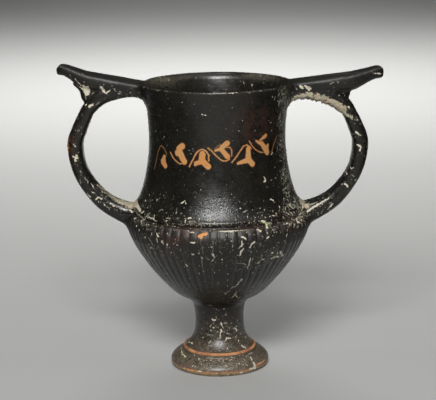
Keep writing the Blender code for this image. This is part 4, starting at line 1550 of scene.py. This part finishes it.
def filmed(skin, colour):
    """The glaze with a film of deposit, rubbed edges and dust in its hollows."""
    film = skin.times(skin.ramp(skin.specks, 0.54, 0.70), skin.ramp(skin.worn, 1.0, 3.0, 0.10, 0.90))
    film = skin.more(film, skin.low, skin.ramp(skin.specks, 0.47, 0.60, 0.0, 0.75))
    film = skin.more(film, skin.mouth, skin.ramp(skin.specks, 0.36, 0.60, 0.1, 1.1))
    colour = skin.blend(film, colour, FILM_COLOUR)
    worn_band = skin.ramp(skin.height, FOOT_BAND_HEIGHT - 0.2, FOOT_BAND_HEIGHT - 0.5, 0.0, 0.75)
    colour = skin.blend(skin.times(worn_band, skin.ramp(skin.patches, 0.30, 0.55)), colour, BAND_COLOUR)
    rubbed = skin.times(skin.edge, skin.ramp(skin.noise(skin.place, 0.45), 0.36, 0.68, 0.05, 0.9))
    colour = skin.blend(rubbed, colour, RUBBED_COLOUR)
    over_ribs = skin.ramp(skin.height, LEDGE - 0.5, LEDGE + 0.3)
    under_ribs = skin.ramp(skin.height, FOOT_HEIGHT + 2, FOOT_HEIGHT + 4, 1.0, 0.0)
    dust = skin.times(skin.hollow, skin.most(over_ribs, under_ribs), 0.9)
    return skin.blend(dust, colour, DUST_COLOUR)


def flaked_share(skin):
    """Where the glaze has flaked off, most where it is worn."""
    flaked = skin.more(skin.noise(skin.place, 0.78, 3.0, 0.65), skin.ramp(skin.worn, 0.0, 0.6), 0.14)
    return skin.ramp(flaked, 0.735, 0.755)


def reserved_share(skin):
    """Where the clay was left bare: the foot's ring, its band and the underside."""
    ring = skin.times(skin.band(skin.height, FOOT_HEIGHT - FOOT_RING_THICKNESS + 0.05, FOOT_HEIGHT + 0.10),
                      skin.ramp(skin.radius, FOOT_RING_DIAMETER / 2 - 1.7, FOOT_RING_DIAMETER / 2 - 1.2))
    line = skin.times(skin.band(skin.height, FOOT_BAND_HEIGHT - 0.35, FOOT_BAND_HEIGHT + 0.5),
                      skin.ramp(skin.radius, 20, 22), skin.ramp(skin.patches, 0.40, 0.55, 0.15, 0.9))
    under = skin.ramp(skin.height, 0.05, 0.45, 1.0, 0.0)
    return skin.times(skin.most(ring, line, under), skin.ramp(skin.specks, 0.30, 0.45, 0.35, 1.0))


def with_garland(skin, colour):
    """The colour with the ivy garland on it, and the garland's share."""
    gap, tone = skin.nearest_stroke(IVY_DRIFT, "ivy")
    gap = skin.maths("ADD", gap, skin.ragged)
    halo = skin.ramp(gap, 0.0, 0.75, 0.55, 0.0)
    colour = skin.blend(skin.times(halo, tone), colour, IVY_HALO)
    ivy = skin.times(skin.ramp(gap, -0.22, 0.22, 1.0, 0.0), skin.ramp(skin.specks, 0.26, 0.42, 0.55, 1.0),
                     skin.ramp(tone, 0.0, 0.7, 0.25, 1.0))
    slip = skin.blend(skin.ramp(skin.patches, 0.38, 0.62), IVY_ORANGE, IVY_TAN)
    return skin.blend(ivy, colour, slip), ivy


def with_marks_and_highlights(skin, colour):
    """The colour with scratches, specks and painted highlights on it, and their share."""
    gap, tone = skin.nearest_stroke(MARK_DRIFT, "mark")
    gap = skin.maths("ADD", gap, skin.more(-0.43, skin.specks, 0.9))
    gap = skin.more(gap, skin.ragged, 0.6)
    marks_and_highlights = skin.times(skin.ramp(gap, -0.14, 0.10, 1.0, 0.0), skin.ramp(skin.fine, 0.30, 0.50, 0.60, 1.0))
    return skin.blend(marks_and_highlights, colour, skin.tone_colours(tone, MARK_AND_HIGHLIGHT_TONES)), marks_and_highlights


def with_crust(skin, colour):
    """The colour with the lime crust on it, and the crust's share."""
    broken = skin.maths("ADD", skin.more(-1.3, skin.specks, 2.6),
                        skin.more(-1.8, skin.noise(skin.place, 0.5, 2.0), 3.6))
    crusted = skin.ramp(skin.maths("ADD", skin.crust, broken), -0.35, 0.30, 1.0, 0.0)
    lime = skin.blend(skin.ramp(skin.patches, 0.35, 0.65), CRUST_CREAM, CRUST_PINK)
    lime = skin.blend(skin.ramp(skin.specks, 0.48, 0.66, 0.0, 0.80), lime, CRUST_BROWN)
    return skin.blend(crusted, colour, lime), crusted


def roughness(skin, dull):
    """How dull the glaze is, from its sheen on the neck to bare deposit."""
    worn = skin.ramp(skin.worn, 0.0, 1.2)
    under_ledge = skin.band(skin.height, LEDGE - 12, LEDGE + 0.4)
    spurs = skin.times(skin.ramp(skin.height, RIM - 8, RIM), skin.ramp(skin.radius, 43, 48))
    gloss = skin.ramp(skin.patches, 0.3, 0.7, 0.25, 0.34)
    duller = ((worn, 0.06), (under_ledge, 0.22), (skin.low, 0.05), (skin.edge, 0.15), (spurs, 0.20))
    for share, amount in duller:
        gloss = skin.more(gloss, share, amount)
    return skin.mean(dull, gloss, DULL_ROUGHNESS)


def fine_relief(skin, marks_and_highlights, ivy, crusted):
    """Clouds, wheel lines, etched grain and the thickness of what lies on the glaze."""
    grit = skin.times(skin.noise(skin.place, 1.5, 1.0, 0.5), skin.ramp(skin.grain, 0.0, 1.6, 0.01, 0.17))
    height = skin.maths("ADD", skin.more(skin.times(skin.wheel, 0.05), skin.clouds, 0.5), grit)
    for share, thickness in ((marks_and_highlights, 0.10), (ivy, 0.03), (skin.times(crusted, skin.specks), 0.9)):
        height = skin.more(height, share, thickness)
    bump = skin.node("Bump")
    for name, value in (("Strength", 1.0), ("Distance", MM), ("Height", height)):
        skin.feed(bump.inputs[name], value)
    return bump.outputs[0]


def glaze_material():
    """Worn black glaze with its garland, bare clay, scratches, deposit and a few painted highlights."""
    material = bpy.data.materials.new("black_glaze")
    material.use_nodes = True
    shader = material.node_tree.nodes["Principled BSDF"]
    skin = Skin(material.node_tree)
    flakes = flaked_share(skin)
    colour = skin.blend(flakes, filmed(skin, fired_glaze(skin)), FLAKE_COLOUR)
    reserved = reserved_share(skin)
    clay = skin.blend(skin.ramp(skin.patches, 0.35, 0.65), CLAY_ORANGE, CLAY_BROWN)
    colour, ivy = with_garland(skin, skin.blend(reserved, colour, clay))
    colour, marks_and_highlights = with_marks_and_highlights(skin, colour)
    colour, crusted = with_crust(skin, colour)
    dull = skin.most(marks_and_highlights, crusted, reserved, ivy, flakes)
    skin.feed(shader.inputs["Base Color"], colour)
    skin.feed(shader.inputs["Roughness"], roughness(skin, dull))
    skin.feed(shader.inputs["Normal"], fine_relief(skin, marks_and_highlights, ivy, crusted))
    return material


def make_camera():
    camera = bpy.data.objects.new("camera", bpy.data.cameras.new("camera"))
    bpy.context.scene.collection.objects.link(camera)
    camera.data.sensor_fit = "HORIZONTAL"
    camera.data.lens = FOCAL_PIXELS / PHOTO_WIDTH * camera.data.sensor_width
    place = (Vector(CAMERA_PLACE) + Vector((AXIS_X, 0, 0))) * MM
    camera.matrix_world = Matrix.Translation(place) @ camera_turn().to_4x4()
    bpy.context.scene.camera = camera


def make_light(name, place, aim, size, power):
    lamp = bpy.data.lights.new(name, "AREA")
    lamp.shape = "RECTANGLE"
    lamp.size, lamp.size_y = size
    lamp.energy = power
    light = bpy.data.objects.new(name, lamp)
    light.location = place
    light.rotation_euler = (Vector(aim) - Vector(place)).to_track_quat("-Z", "Y").to_euler()
    bpy.context.scene.collection.objects.link(light)
    return light


def make_floor():
    mesh = bpy.data.meshes.new("floor")
    corners = [(-1, -1), (1, -1), (1, 1), (-1, 1)]
    mesh.from_pydata([(x * FLOOR_REACH, y * FLOOR_REACH, 0) for x, y in corners], [], [(0, 1, 2, 3)])
    floor = bpy.data.objects.new("floor", mesh)
    bpy.context.scene.collection.objects.link(floor)
    material = bpy.data.materials.new("floor")
    material.use_nodes = True
    shader = material.node_tree.nodes["Principled BSDF"]
    graph = Graph(material.node_tree)
    x, y, _ = graph.parts(graph.node("TexCoord").outputs["Object"])
    # Painted shade: the floor darkens beside the lit strip, as where a lamp's light falls off
    away = graph.maths("SUBTRACT", y, STRIP_MIDDLE)
    wider = graph.most(graph.times(away, STRIP_WIDENING_BACK), graph.times(away, -STRIP_WIDENING_FRONT))
    beside = graph.maths("SUBTRACT", graph.maths("ABSOLUTE", x), wider)
    fade = graph.ramp(beside, STRIP_HALF_WIDTH, STRIP_HALF_WIDTH + STRIP_EDGE)
    graph.feed(shader.inputs["Base Color"], graph.blend(fade, FLOOR_GREY, FLOOR_PAINTED_SHADE))
    shader.inputs["Roughness"].default_value = FLOOR_ROUGHNESS
    mesh.materials.append(material)


def make_stage():
    make_floor()
    world = bpy.data.worlds.new("studio")
    world.use_nodes = True
    background = world.node_tree.nodes["Background"]
    background.inputs["Color"].default_value = WORLD_COLOUR
    background.inputs["Strength"].default_value = WORLD_STRENGTH
    bpy.context.scene.world = world
    for name, lamp in LAMPS.items():
        make_light(name, *lamp)
    for name, (away, height, power, spread) in BACKDROP_LAMPS.items():
        lamp = make_light(name, (0, away, height), (0, away, 0), BACKDROP_LAMP_SIZE, power)
        lamp.data.spread = math.radians(spread)
        lamp.visible_glossy = False
    bpy.context.scene.view_settings.view_transform = "Standard"


make_camera()
make_stage()
vessel = make_vessel()
weather(vessel.data)
vessel.data.materials.clear()
vessel.data.materials.append(glaze_material())
vessel.data.shade_smooth()
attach(vessel, "root")
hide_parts("kantharos")
